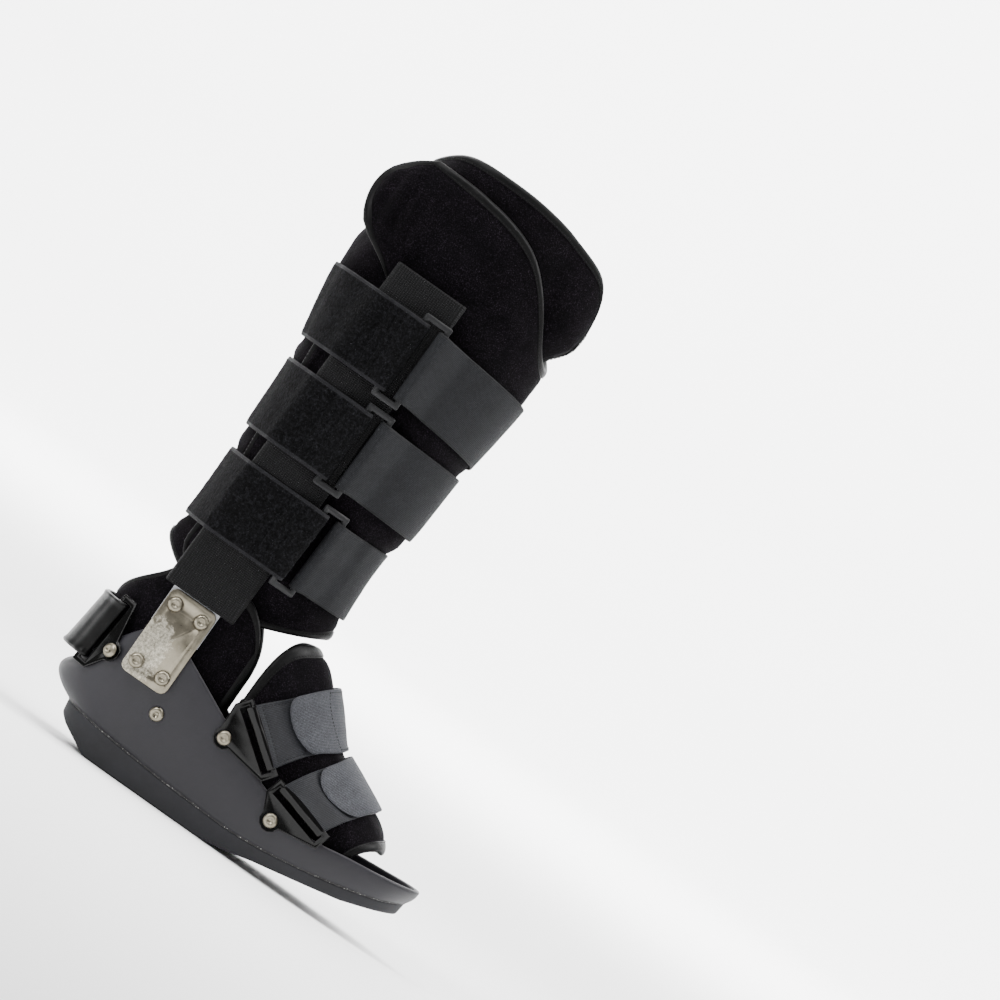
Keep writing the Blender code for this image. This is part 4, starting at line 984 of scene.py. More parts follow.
def pile_cloth():
    """Loop pile of the calf straps: a mottled black fur of small curls with worn darker spots."""
    material, tree, shader = blank("loop_pile", 1.0)
    place = place_of(tree)
    tuft = grain(tree, place, 1.9 * MM, 4, 0.75)
    worn = grain(tree, place, 9 * MM, 3)
    loops = add(tree, "ShaderNodeTexVoronoi", {"Vector": place, "Scale": 1 / (1.5 * MM)})
    tone = ramp(tree, tuft, (0.36, "#010101"), (0.5, "#070708"), (0.68, "#1b1b1e"))
    shade = ramp(tree, worn, (0.35, 0.7), (0.7, 1.25))
    set_inputs(tree, shader, Base_Color=blend(tree, 1.0, tone, shade, "MULTIPLY"))
    set_inputs(tree, shader, Sheen_Weight=0.03, Sheen_Roughness=0.5, Specular_IOR_Level=0.08)
    set_inputs(tree, shader, Sheen_Tint=linear("#77777d"))
    raise_by(tree, shader, (worn, 0.5 * MM), (tuft, 2.2 * MM), (loops.outputs["Distance"], 0.6 * MM))
    return material


def tape(name, dark, light, pitch, depth, roughness=0.75, sheen=0.0):
    """Woven tape with ribs along it, each crossed by fine threads."""
    material, tree, shader = blank(name, roughness)
    along = place_of(tree, by_uv=True)
    rib = ribs(tree, along, pitch, "Y")
    thread = ribs(tree, along, pitch * 0.8, "X", 0.6)
    woven = calc(tree, "MULTIPLY", rib, thread)
    cloud = grain(tree, place_of(tree), 12 * MM)
    fine = grain(tree, place_of(tree), 0.8 * MM, 3, 0.7)
    tone = ramp(tree, woven, (0.05, dark), (0.75, light))
    shade = ramp(tree, cloud, (0.3, 0.85), (0.7, 1.15))
    speck = ramp(tree, fine, (0.35, 0.65), (0.7, 1.45))
    colour = blend(tree, 1.0, blend(tree, 1.0, tone, shade, "MULTIPLY"), speck, "MULTIPLY")
    set_inputs(tree, shader, Base_Color=colour, Sheen_Weight=sheen, Specular_IOR_Level=0.15)
    raise_by(tree, shader, (cloud, 0.3 * MM), (woven, depth), (fine, 0.1 * MM))
    return material


def moulded(name, dark, light, roughness, grain_size, depth, gloss=0.5):
    """Moulded plastic or rubber with a fine spark grain and soft handling marks."""
    material, tree, shader = blank(name, roughness)
    place = place_of(tree)
    fine = grain(tree, place, grain_size, 2, 0.5)
    marks = grain(tree, place, 26 * MM, 5, 0.6)
    set_inputs(tree, shader, Base_Color=ramp(tree, marks, (0.3, dark), (0.72, light)))
    rough = ramp(tree, marks, (0.3, roughness - 0.07), (0.7, roughness + 0.07))
    set_inputs(tree, shader, Roughness=rough, Specular_IOR_Level=gloss)
    raise_by(tree, shader, (marks, 0.12 * MM), (fine, depth))
    return material


def glossy_vinyl(name, shine, low, high):
    """Black vinyl with shallow waves. low and high are the roughness of its clean and dusty spots."""
    material, tree, shader = blank(name, low)
    place = place_of(tree)
    waves = grain(tree, place, 16 * MM, 1)
    dust = grain(tree, place, 1.2 * MM, 3)
    set_inputs(tree, shader, Base_Color=linear("#010101"), Specular_IOR_Level=shine)
    set_inputs(tree, shader, Roughness=ramp(tree, dust, (0.4, low), (0.75, high)))
    raise_by(tree, shader, (waves, 0.5 * MM), (dust, 0.008 * MM))
    return material


def worn_nickel(name, patch):
    """Nickel plate: a warm grey metal with fine scratches and, on the plates, a scuffed patch."""
    material, tree, shader = blank(name, 0.32, 1.0)
    place = place_of(tree)
    cloud = grain(tree, place, 7 * MM, 5, 0.7)
    line = add(tree, "ShaderNodeMapping", {"Vector": place, "Scale": (90, 90, 2200)})
    line.inputs["Rotation"].default_value = (0, math.radians(38), 0)
    scratch = grain(tree, line.outputs["Vector"], 1.0, 3)
    tone = ramp(tree, cloud, (0.3, "#6c675a"), (0.7, "#878173"))
    rough = ramp(tree, cloud, (0.3, 0.26), (0.7, 0.42))
    if patch:
        offset = add(tree, "ShaderNodeMapping", {"Vector": place, "Location": PATCH_SHIFT})
        offset.inputs["Scale"].default_value = PATCH_SCALE
        away = add(tree, "ShaderNodeVectorMath", {0: offset.outputs["Vector"]}, operation="LENGTH")
        near = calc(tree, "SUBTRACT", 1.0, away.outputs["Value"])
        ragged = calc(tree, "MULTIPLY", grain(tree, place, 4 * MM, 6, 0.75), 1.6)
        flaked = calc(tree, "ADD", near, ragged)
        mask = ramp(tree, flaked, (0.93, 0.0), (1.02, 1.0))
        specks = grain(tree, place, 1.8 * MM, 5, 0.8)
        mottle = ramp(tree, specks, (0.35, "#6b675b"), (0.65, "#bcb7a9"))
        tone = blend(tree, mask, tone, mottle)
        rough = blend(tree, mask, rough, (0.62, 0.62, 0.62, 1))
    set_inputs(tree, shader, Base_Color=tone, Roughness=rough)
    raise_by(tree, shader, (cloud, 0.03 * MM), (scratch, 0.004 * MM))
    return material


def groove_shade_and_cement():
    """Squeezed out cement along the seam: its near black body is painted shade of the groove, and its
    pale specks are crumbs where the cement has broken away.
    """
    material, tree, shader = blank("groove_shade_and_cement", 0.6)
    crumbs = grain(tree, place_of(tree), 1.1 * MM, 3, 0.7)
    # Painted shade: the near black stops darken the seam groove; only the pale stop is the cement's
    # own specks.
    tone = ramp(tree, crumbs, (0.5, "#060606"), (0.62, "#151515"), (0.68, "#cfcfca"))
    set_inputs(tree, shader, Base_Color=tone)
    return material


def plain_thread():
    material, tree, shader = blank("sewing_thread", 0.6)
    twist = grain(tree, place_of(tree), 0.4 * MM)
    tone = ramp(tree, twist, (0.3, "#010101"), (0.7, "#060607"))
    set_inputs(tree, shader, Base_Color=tone, Specular_IOR_Level=0.1)
    return material


def aluminium_bar():
    material, tree, shader = blank("extruded_aluminium", 0.4, 1.0)
    place = place_of(tree)
    drawn = add(tree, "ShaderNodeMapping", {"Vector": place, "Scale": (2500, 2500, 60)})
    line = grain(tree, drawn.outputs["Vector"], 1.0, 2)
    set_inputs(tree, shader, Base_Color=ramp(tree, line, (0.3, "#8e8f92"), (0.7, "#b4b5b8")))
    raise_by(tree, shader, (line, 0.01 * MM))
    return material


def new_piece(name, mesh, *materials):
    piece = bpy.data.objects.new(name, mesh)
    bpy.context.scene.collection.objects.link(piece)
    for material in materials:
        mesh.materials.append(material)
    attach(piece, "root")
    return piece


def normals_of(points, closed=False):
    """Unit normals of a grid of points, from the steps to its neighbours."""
    if closed:
        along = np.roll(points, -1, axis=0) - np.roll(points, 1, axis=0)
    else:
        along = np.gradient(points, axis=0)
    across = np.gradient(points, axis=1)
    normals = np.cross(along, across)
    size = np.linalg.norm(normals, axis=2, keepdims=True)
    return normals / np.maximum(size, 1e-12)


def weld(mesh):
    """Joins corners that lie on one another and turns every face outwards."""
    bm = bmesh.new()
    bm.from_mesh(mesh)
    bmesh.ops.remove_doubles(bm, verts=bm.verts, dist=0.002 * MM)
    bmesh.ops.recalc_face_normals(bm, faces=bm.faces)
    bm.to_mesh(mesh)
    bm.free()
    mesh.shade_smooth()


def slab(name, points, low, high, materials, cell_slots=None, closed=False, uv=None, side=1):
    """A sheet with thickness: low and high are distances along the normals of a grid of points.

    Where low meets high the two faces share their corners, which rounds the edge off.
    """
    normals = normals_of(points, closed) * side
    faces_of = [points + normals * low[..., None], points + normals * high[..., None]]
    columns, rows = points.shape[:2]
    size = columns * rows
    corners = np.concatenate([grid.reshape(-1, 3) for grid in faces_of])
    index = np.arange(size).reshape(columns, rows)
    after = np.roll(index, -1, axis=0) if closed else index[1:]
    before = index if closed else index[:-1]
    quads = np.stack([before[:, :-1], after[:, :-1], after[:, 1:], before[:, 1:]], axis=-1)
    slots = np.zeros(quads.shape[:2], int) if cell_slots is None else cell_slots
    top, bottom = (quads + size).reshape(-1, 4), quads[..., ::-1].reshape(-1, 4)
    if side < 0:
        top, bottom = top[:, ::-1], bottom[:, ::-1]
    rims = []
    sides_of = [(before[:, row], after[:, row]) for row in (0, rows - 1)]
    if not closed:
        sides_of += [(index[column, :-1], index[column, 1:]) for column in (0, columns - 1)]
    for a, b in sides_of:
        rims.append(np.stack([a, b, b + size, a + size], axis=-1))
    faces = np.concatenate([top, bottom, *rims])
    rim_count = sum(len(rim) for rim in rims)
    face_slots = np.concatenate([slots.reshape(-1), slots.reshape(-1), np.zeros(rim_count, int)])
    mesh = bpy.data.meshes.new(name)
    mesh.from_pydata(corners.tolist(), [], faces.tolist())
    mesh.polygons.foreach_set("material_index", face_slots)
    if uv is not None:
        layer = mesh.uv_layers.new(name="along_tape")
        both = np.concatenate([uv.reshape(-1, 2)] * 2)
        corner_ids = np.empty(len(mesh.loops), int)
        mesh.loops.foreach_get("vertex_index", corner_ids)
        layer.data.foreach_set("uv", both[corner_ids].reshape(-1))
    weld(mesh)
    return new_piece(name, mesh, *materials), points + normals * high[..., None], normals


def skin(name, points, materials, cell_slots=None):
    """A closed surface from rings of points. Rings that fold flat are welded along their line."""
    columns, rows = points.shape[:2]
    index = np.arange(columns * rows).reshape(columns, rows)
    after = np.roll(index, -1, axis=0)
    quads = np.stack([index[:, :-1], after[:, :-1], after[:, 1:], index[:, 1:]], axis=-1)
    mesh = bpy.data.meshes.new(name)
    mesh.from_pydata(points.reshape(-1, 3).tolist(), [], quads.reshape(-1, 4).tolist())
    if cell_slots is not None:
        mesh.polygons.foreach_set("material_index", cell_slots.reshape(-1))
    weld(mesh)
    return new_piece(name, mesh, *materials)


def bevelled(name, node, material, width, rim=0.0):
    """A CAD node's own shape with rounded edges and, with a rim width, sunken flat faces."""
    mesh = bpy.data.objects[node].data.copy()
    mesh.materials.clear()
    bm = bmesh.new()
    bm.from_mesh(mesh)
    bmesh.ops.remove_doubles(bm, verts=bm.verts, dist=0.005 * MM)
    bmesh.ops.dissolve_limit(bm, angle_limit=math.radians(3), verts=bm.verts, edges=bm.edges)
    if rim:
        largest = max(bm.faces, key=lambda face: face.calc_area()).normal.copy()
        wide = [face for face in bm.faces if abs(face.normal.dot(largest)) > 0.99]
        bmesh.ops.inset_region(bm, faces=wide, thickness=rim, depth=-rim * 0.35, use_even_offset=True)
    bm.to_mesh(mesh)
    bm.free()
    piece = new_piece(name, mesh, material)
    bevel = piece.modifiers.new("Rounded edges", "BEVEL")
    bevel.width = width
    bevel.segments = 3
    bevel.limit_method = "ANGLE"
    bevel.angle_limit = math.radians(35)
    bevel.harden_normals = True
    finish_modifiers(piece)
    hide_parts(node)
    return piece


def finish_modifiers(piece):
    """Keeps what the modifiers make as a plain mesh."""
    graph = bpy.context.evaluated_depsgraph_get()
    made = bpy.data.meshes.new_from_object(piece.evaluated_get(graph))
    piece.modifiers.clear()
    old = piece.data
    piece.data = made
    bpy.data.meshes.remove(old)
    made.shade_smooth()


def stitch_group():
    """A node group that lays stitches along lines: one each spacing, flat on the cloth."""
    group = bpy.data.node_groups.new("Stitch row", "GeometryNodeTree")
    faces = group.interface
    faces.new_socket("Geometry", in_out="INPUT", socket_type="NodeSocketGeometry")
    faces.new_socket("Geometry", in_out="OUTPUT", socket_type="NodeSocketGeometry")
    for label in ("Spacing", "Length", "Width"):
        faces.new_socket(label, in_out="INPUT", socket_type="NodeSocketFloat")
    faces.new_socket("Thread", in_out="INPUT", socket_type="NodeSocketMaterial")
    entry = group.nodes.new("NodeGroupInput")
    line = add(group, "GeometryNodeMeshToCurve", {"Mesh": entry.outputs["Geometry"]})
    dots = add(group, "GeometryNodeResampleCurve", {"Curve": line.outputs["Curve"]}, mode="LENGTH")
    group.links.new(entry.outputs["Spacing"], dots.inputs["Length"])
    tangent = add(group, "GeometryNodeInputTangent")
    turn = add(group, "FunctionNodeAlignRotationToVector", axis="X")
    group.links.new(tangent.outputs["Tangent"], turn.inputs["Vector"])
    out = add(group, "GeometryNodeInputNamedAttribute", {"Name": "out"}, data_type="FLOAT_VECTOR")
    upright = add(group, "FunctionNodeAlignRotationToVector", axis="Z", pivot_axis="X")
    group.links.new(turn.outputs["Rotation"], upright.inputs["Rotation"])
    group.links.new(out.outputs["Attribute"], upright.inputs["Vector"])
    bead = add(group, "GeometryNodeMeshUVSphere", {"Segments": 6, "Rings": 4, "Radius": 0.5})
    size = add(group, "ShaderNodeCombineXYZ")
    group.links.new(entry.outputs["Length"], size.inputs["X"])
    group.links.new(entry.outputs["Width"], size.inputs["Y"])
    group.links.new(entry.outputs["Width"], size.inputs["Z"])
    shaped = add(group, "GeometryNodeTransform", {"Geometry": bead.outputs["Mesh"]})
    group.links.new(size.outputs["Vector"], shaped.inputs["Scale"])
    many = add(group, "GeometryNodeInstanceOnPoints", {"Points": dots.outputs["Curve"]})
    group.links.new(shaped.outputs["Geometry"], many.inputs["Instance"])
    group.links.new(upright.outputs["Rotation"], many.inputs["Rotation"])
    real = add(group, "GeometryNodeRealizeInstances", {"Geometry": many.outputs["Instances"]})
    coloured = add(group, "GeometryNodeSetMaterial", {"Geometry": real.outputs["Geometry"]})
    group.links.new(entry.outputs["Thread"], coloured.inputs["Material"])
    leave = group.nodes.new("NodeGroupOutput")
    group.links.new(coloured.outputs["Geometry"], leave.inputs["Geometry"])
    return group


def sew(name, lines, sizes):
    """Stitches along each line of points, each with the heading out of the cloth there."""
    spacing, length, width = sizes
    points, headings, edges = [], [], []
    for line, outward in lines:
        first = len(points)
        points += [tuple(p) for p in line]
        headings += [tuple(n) for n in outward]
        edges += [(first + i, first + i + 1) for i in range(len(line) - 1)]
    mesh = bpy.data.meshes.new(name)
    mesh.from_pydata(points, edges, [])
    attribute = mesh.attributes.new("out", "FLOAT_VECTOR", "POINT")
    attribute.data.foreach_set("vector", np.array(headings, float).reshape(-1))
    piece = new_piece(name, mesh)
    rows = piece.modifiers.new("Stitches", "NODES")
    rows.node_group = stitches
    values = {"Spacing": spacing, "Length": length, "Width": width, "Thread": thread}
    for item in stitches.interface.items_tree:
        if item.in_out == "INPUT" and item.name in values:
            rows[item.identifier] = values[item.name]
    finish_modifiers(piece)
    return piece


# Distances from a pad's edge at which its grid has lines, in millimetres.
EDGE_LINES = (0, 0.3, 0.8, 1.6, 2.6, 4.0, 5.2, 6.0, 6.5, 7.5, 9.5, 12.5)
BINDING_WIDTH = 6 * MM
SEAM_LINE_AT = 6

# Half thickness of a pad as a share of its middle's, by distance from the edge in millimetres.
PAD_PROFILE = (
    (0.0, 0.00),
    (0.3, 0.40),
    (0.8, 0.64),
    (1.6, 0.86),
    (2.6, 0.97),
    (4.0, 1.00),
    (5.2, 0.90),
    (6.2, 0.66),
    (7.5, 0.84),
    (9.5, 0.96),
    (12.5, 1.00),
)


def pad(name, node, columns, unit, height_of, place, thickness, middle, swell=None):
    """A foam pad between two faces of cloth, with a bound edge and a pinched seam inside it.

    place(column, row share) is its guiding face and middle the distance from there to its middle.
    unit is how long a step of one column is. swell(column, point) lifts the outer face.
    """
    edge = [line * MM for line in EDGE_LINES]
    inner = [columns[0] + d / unit for d in edge] + list(columns[1:-1])
    inner += [columns[-1] - d / unit for d in reversed(edge)]
    columns = sorted(inner)
    grid, away = [], []
    for column in columns:
        tall = height_of(column)
        shares = [d / tall for d in edge]
        shares += steps(shares[-1], 1 - shares[-1], PAD_ROWS)[1:-1]
        shares += [1 - d / tall for d in reversed(edge)]
        grid.append([tuple(place(column, share)) for share in shares])
        ends = min(column - columns[0], columns[-1] - column) * unit
        away.append([min(share * tall, (1 - share) * tall, ends) for share in shares])
    grid, away = np.array(grid), np.array(away)
    profile = np.array(PAD_PROFILE)
    half = np.interp(away / MM, profile[:, 0], profile[:, 1]) * thickness / 2
    lift = np.zeros_like(half)
    if swell:
        for i, column in enumerate(columns):
            for j in range(half.shape[1]):
                lift[i, j] = swell(column, grid[i, j])
        lift *= np.clip(away / (14 * MM), 0, 1)
    centre = grid.mean(axis=(0, 1))
    side = np.sign(np.sum(normals_of(grid) * (grid - centre)))
    middle_away = (away[:-1, :-1] + away[1:, :-1] + away[:-1, 1:] + away[1:, 1:]) / 4
    slots = (middle_away < BINDING_WIDTH).astype(int)
    piece, outer, headings = slab(
        name, grid, middle - half, middle + half + lift, (nap, binding), slots, side=side
    )
    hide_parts(node)
    line = SEAM_LINE_AT
    far = half.shape[1] - 1 - line
    last = len(columns) - 1 - line
    outer = outer + headings * 0.15 * MM
    seams = [
        (outer[line : last + 1, line], headings[line : last + 1, line]),
        (outer[line : last + 1, far], headings[line : last + 1, far]),
        (outer[line, line : far + 1], headings[line, line : far + 1]),
        (outer[last, line : far + 1], headings[last, line : far + 1]),
    ]
    sew(f"{name}_stitches", seams, PAD_STITCH)
    return piece


def soft_edges(angle):
    """The wrap's bottom and top edge with the corners of their outline eased."""
    near = [wrap_edges(min(max(angle + step, WRAP_START), WRAP_FREE_END - 1)) for step in EASE_ANGLES]
    return [sum(edge[i] for edge in near) / len(near) for i in (0, 1)]


def wrap_face(column, row):
    end = curve_at(WRAP_END, row)[0]
    angle = column
    if column > WRAP_STRAIGHT_END:
        share = (column - WRAP_STRAIGHT_END) / (WRAP_FREE_END - WRAP_STRAIGHT_END)
        angle = mix(WRAP_STRAIGHT_END, end, share)
    bottom, top = soft_edges(angle)
    height = mix(bottom, top, row)
    return leg_point(angle, height, wrap_drift(angle) + wrap_lift(angle, height))


def wrap_height(column):
    bottom, top = soft_edges(column)
    return top - bottom


def wrap_swell(column, point):
    """Soft folds, the bulge between two straps, and the upright creases of the ear."""
    x, y, z = point
    soft = 0.0
    for size, flatten, depth in WRAP_FOLDS:
        soft += noise.noise(Vector((x, y, z * flatten)) / size) * depth
    beside = abs(x - upright_x(z) - SLEEVE_SHIFT) < SLEEVE_WIDTH / 2 + 4 * MM
    for low, high in WRAP_BULGES:
        share = (z - low) / (high - low)
        if 0 < share < 1 and not beside:
            soft += BULGE_DEPTH * math.sin(math.pi * share)
    if column > EAR_ANGLES[0] and z > CREASE_HEIGHTS[0]:
        tall = ease(z, *CREASE_HEIGHTS[:2]) * (1 - ease(z, *CREASE_HEIGHTS[2:]))
        for at, deep, wide in EAR_CREASES:
            soft -= deep * MM * tall * math.exp(-(((x / MM - at) / wide) ** 2))
    return soft


def make_leg_pad():
    columns = steps(WRAP_START, WRAP_FREE_END, LEG_COLUMNS)
    return pad(
        "leg_pad", "leg_wrap", columns, 1.12 * MM, wrap_height, wrap_face,
        WRAP_THICKNESS, WRAP_THICKNESS / 2, wrap_swell,
    )


def ankle_edge_top(column):
    angle = column if column <= 180 else 360 - column
    return curve_at(ANKLE_EDGE, angle)[0] * ANKLE_TOP


def ankle_face(column, row):
    height = mix(ANKLE_SECTIONS[0][0] * ANKLE_TOP, ankle_edge_top(column), row)
    back, half = curve_at(ANKLE_SECTIONS, height / ANKLE_TOP)
    flat = oval((ANKLE_X, 0), back * ANKLE_BACK, ANKLE_FRONT, half * ANKLE_HALF, column, 0)
    return Vector((flat.x, flat.y, height))


def soft_swell(amount, size):
    def swell(column, point):
        return noise.noise(Vector(point) / size) * amount

    return swell


def make_ankle_pad():
    edge = ANKLE_EDGE[0][0]
    columns = steps(edge, 360 - edge, ANKLE_COLUMNS)
    return pad(
        "ankle_pad", "ankle_wrap", columns, 0.95 * MM,
        lambda column: ankle_edge_top(column) - ANKLE_SECTIONS[0][0] * ANKLE_TOP, ankle_face,
        ANKLE_THICKNESS, -ANKLE_THICKNESS / 2, soft_swell(0.9 * MM, 18 * MM),
    )


def instep_ends(column):
    cosine = max(math.cos(math.radians(column)), 0)
    return INSTEP_REAR + INSTEP_ARC * cosine**2.4, INSTEP_FRONT - INSTEP_HEM * (1 - cosine)


def instep_face(column, row):
    x = mix(*instep_ends(column), row)
    if abs(column) > 90:
        side = instep_section(x)[1]
        floor = seam_height(x) + SHELL_WALL + INSOLE_THICKNESS + INSOLE_ROOM
        reach = 90 + (side - floor) / MM * (abs(column) - 90) / (INSTEP_REACH - 90)
        return instep_point(x, math.copysign(reach, column))
    return instep_point(x, column)


def make_instep_pad():
    columns = steps(-INSTEP_REACH, INSTEP_REACH, INSTEP_COLUMNS)
    swell = soft_swell(1.0 * MM, 16 * MM)
    return pad(
        "instep_pad", "instep_wrap", columns, 0.9 * MM,
        lambda column: instep_ends(column)[1] - instep_ends(column)[0], instep_face,
        INSTEP_THICKNESS, -INSTEP_THICKNESS / 2, swell,
    )


# Lines across a tape: distance from its edge in millimetres.
TAPE_LINES = (0, 0.12, 0.35, 0.8, 1.6, 2.4)
ROUND_SHARES = (-0.5, -0.47, -0.4, -0.3, -0.15, 0, 0.15, 0.3, 0.4, 0.47, 0.5)
MIDDLE_ROW = len(ROUND_SHARES) // 2


def smooth_line(points, count):
    """count points evenly along a smooth curve through the points given."""
    reach = [0.0]
    for a, b in zip(points, points[1:]):
        reach.append(reach[-1] + max((b - a).length, 1e-6))
    table = [(s, *p) for s, p in zip(reach, points)]
    return [curve_at(table, reach[-1] * i / (count - 1)) for i in range(count)], reach[-1]


def tape_piece(name, node, rows, width, thickness, materials, selvage=0.0,
               relief=None, head=0.0):
    """A flat tape. rows lists, for each of ROUND_SHARES across it, the points along it."""
    count = int(lengths_along([(p, None) for p in rows[MIDDLE_ROW]])[-1] / TAPE_STEP)
    lines, length = zip(*(smooth_line(row, count) for row in rows))
    coarse = np.array(lines)
    half_width = width / MM / 2
    edge = [line - half_width for line in TAPE_LINES]
    across = edge + list(np.linspace(edge[-1], -edge[-1], int(width / TAPE_STEP / 1.4))[1:-1])
    across += [-value for value in reversed(edge)]
    across = np.array(across) / (2 * half_width)
    grid = np.empty((count, len(across), 3))
    for i in range(count):
        for axis in range(3):
            grid[i, :, axis] = np.interp(across, ROUND_SHARES, coarse[:, i, axis])
    from_edge = (0.5 - np.abs(across)) * width / MM
    along = np.linspace(0, length[MIDDLE_ROW], count)
    from_end = np.minimum(along, along[-1] - along) / MM
    away = np.minimum(from_edge[None, :], from_end[:, None])
    half = thickness / 2 * np.sqrt(1 - (1 - np.clip(away / 0.8, 0, 1)) ** 2)
    lift = np.zeros_like(half)
    if relief:
        for i in range(count):
            for j in range(len(across)):
                lift[i, j] = relief(along[i], across[j] * width, grid[i, j])
    middle = grid[count // 2, len(across) // 2] - np.array(LEG_AXIS)
    side = 1 if np.dot(normals_of(grid)[count // 2, len(across) // 2], middle) > 0 else -1
    slots = np.zeros((count - 1, len(across) - 1), int)
    if head:
        slots[(along[:-1] + along[1:]) / 2 < head] = 1
    if selvage:
        slots[:, (from_edge[:-1] + from_edge[1:]) / 2 * MM < selvage] = 1
    uv = np.stack(np.meshgrid(along, across * width, indexing="ij"), axis=-1)
    piece, outer, headings = slab(
        name, grid, -half, half + lift, materials, slots, uv=uv, side=side
    )
    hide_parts(node)
    return piece, outer, headings, along, across * width


def along_tape(made, at, inset):
    """A line of points at this distance across a tape, between two distances along it."""
    _, outer, headings, along, across = made
    row = int(np.argmin(np.abs(across - inset)))
    keep = (along >= at[0]) & (along <= at[1])
    return outer[keep, row] + headings[keep, row] * 0.1 * MM, headings[keep, row]


def over_tape(made, at, reach):
    """A line of points straight over a tape at this distance along it."""
    _, outer, headings, along, across = made
    column = int(np.argmin(np.abs(along - at)))
    keep = np.abs(across) <= reach
    return outer[column, keep] + headings[column, keep] * 0.1 * MM, headings[column, keep]


def ribbon_rows(tracks, bar, direction, profile, end, thickness, lap=None, fall=0.0, rounding=0.0):
    """The points along a strap for each of ROUND_SHARES across it."""
    start, bar_height, frames = bar
    bend = RING_BAR / 2 + BAR_CLEARANCE + thickness
    lengths = lengths_along(tracks[len(tracks) // 2])
    reach = profile[-1][0] * 1.05
    stations = list(profile)
    inner = sorted((length - start) * direction for length in lengths)
    stations += [(d, profile[-1][1]) for d in inner if reach < d < end * 0.97]
    stations.append((end, profile[-1][1]))
    if lap:
        over, rise = lap
        kept = [(d, out) for d, out in stations if abs(d - over) > LAP_STEP]
        stations = [(d, out + rise * (d > over)) for d, out in kept]
        stations += [(over - LAP_STEP, profile[-1][1]), (over, profile[-1][1] + rise)]
        folded = len(profile)
        stations = stations[:folded] + sorted(stations[folded:])
    rows = []
    for row, share in enumerate(ROUND_SHARES):
        points = []
        cut = rounding * (1 - math.sqrt(max(1 - (2 * share) ** 2, 0)))
        for number, (distance, out) in enumerate(stations):
            if number == len(stations) - 1:
                distance -= cut
            elif number > len(profile) and distance > end - rounding:
                continue
            if abs(distance) < bend:
                seat, along, outward = frames[row]
                points.append(seat + along * distance + outward * (out - bar_height))
                continue
            point = track_point(tracks[row], column_at(lengths, start + direction * distance), out)
            points.append(point - Vector((0, 0, fall * max(distance, 0))))
        rows.append(points)
    return rows


def bar_rows(seat, along, up, width):
    along = along.normalized()
    up = (up - along * up.dot(along)).normalized()
    outward = along.cross(up)
    if outward.dot(Vector((seat.x - LEG_WIDEST_X, seat.y, 0))) < 0:
        outward = -outward
    return [(seat + up * width * share, along, outward) for share in ROUND_SHARES]


def pile_relief(along, across, point):
    """Tufts of the loop pile, kept off the selvage, and the seams that hold the strap's fold."""
    if abs(across) > STRAP_WIDTH / 2 - PILE_SELVAGE:
        return -0.25 * MM
    sunk = sum(math.exp(-(((along - seam) / (1.1 * MM)) ** 2)) for seam in PILE_SEAMS)
    if sunk > 0.15:
        return -1.0 * MM * sunk
    tufts = [noise.noise(Vector(point) / size) * height for size, height in PILE_TUFTS]
    return sum(tufts) * MM


def loop_relief(along, across, point):
    """The padded patch between its rows of stitches on a foot strap."""
    low, high = LOOP_PATCH
    edge = min(along - low, high - along, FOOT_HALF_WIDTH - 3 * MM - abs(across))
    sunk = -0.35 * MM * math.exp(-((edge / (0.8 * MM)) ** 2)) if along < high + 2 * MM else 0
    return sunk + tape_relief(along, across, point)


def tape_relief(along, across, point):
    return noise.noise(Vector(point) / (13 * MM)) * 0.18 * MM


def make_calf(name, middle, bar_x, strap_end, tab_end, fall):
    tracks = [strap_row(middle + STRAP_WIDTH * share) for share in ROUND_SHARES]
    bar_height = STRAP_THICKNESS + BAR_CLEARANCE + RING_THICKNESS / 2
    start = find_x(tracks[MIDDLE_ROW], bar_x, -1)
    lengths = lengths_along(tracks[MIDDLE_ROW])
    spread = RING_WIDTH - RING_BAR
    rear = track_point(tracks[MIDDLE_ROW], column_at(lengths, start), bar_height)
    front = track_point(tracks[MIDDLE_ROW], column_at(lengths, start - spread), bar_height)
    half_way = column_at(lengths, start - spread / 2)
    up = track_point(tracks[-1], half_way, 0) - track_point(tracks[0], half_way, 0)
    half_ring = (rear - front).normalized() * spread / 2
    seats = [(rear + front) / 2 + half_ring, (rear + front) / 2 - half_ring]
    frames = [bar_rows(seat, rear - front, up, STRAP_WIDTH) for seat in seats]
    profile = fold_profile(STRAP_THICKNESS, bar_height, RING_THICKNESS, FOLD_TAIL)
    rows = ribbon_rows(tracks, (start, bar_height, frames[0]), 1, profile, strap_end, STRAP_THICKNESS)
    tape_piece(
        f"pile_strap_{name}", f"calf_strap_{name}", rows, STRAP_WIDTH, STRAP_THICKNESS,
        (pile, selvage), selvage=PILE_SELVAGE, relief=pile_relief,
    )
    tab_tracks = [strap_row(middle + TAB_WIDTH * share) for share in ROUND_SHARES]
    tab_profile = fold_profile(TAB_THICKNESS, bar_height, RING_THICKNESS, FOLD_TAIL)
    over = lengths[-1] / 1.5 - strap_end - spread - LAP_STEP
    tab_frames = [(seat, -along, outward) for seat, along, outward in frames[1]]
    rows = ribbon_rows(
        tab_tracks, (start - spread, bar_height, tab_frames), -1, tab_profile, tab_end,
        TAB_THICKNESS, (over, STRAP_THICKNESS + 2 * CLEARANCE), fall,
    )
    tape_piece(
        f"hook_tab_{name}", f"calf_tab_{name}", rows, TAB_WIDTH, TAB_THICKNESS,
        (hook, hook_edge), selvage=HOOK_SELVAGE, relief=tape_relief,
    )
    bevelled(f"ring_moulding_{name}", f"ring_{name}", nylon, 0.7 * MM)


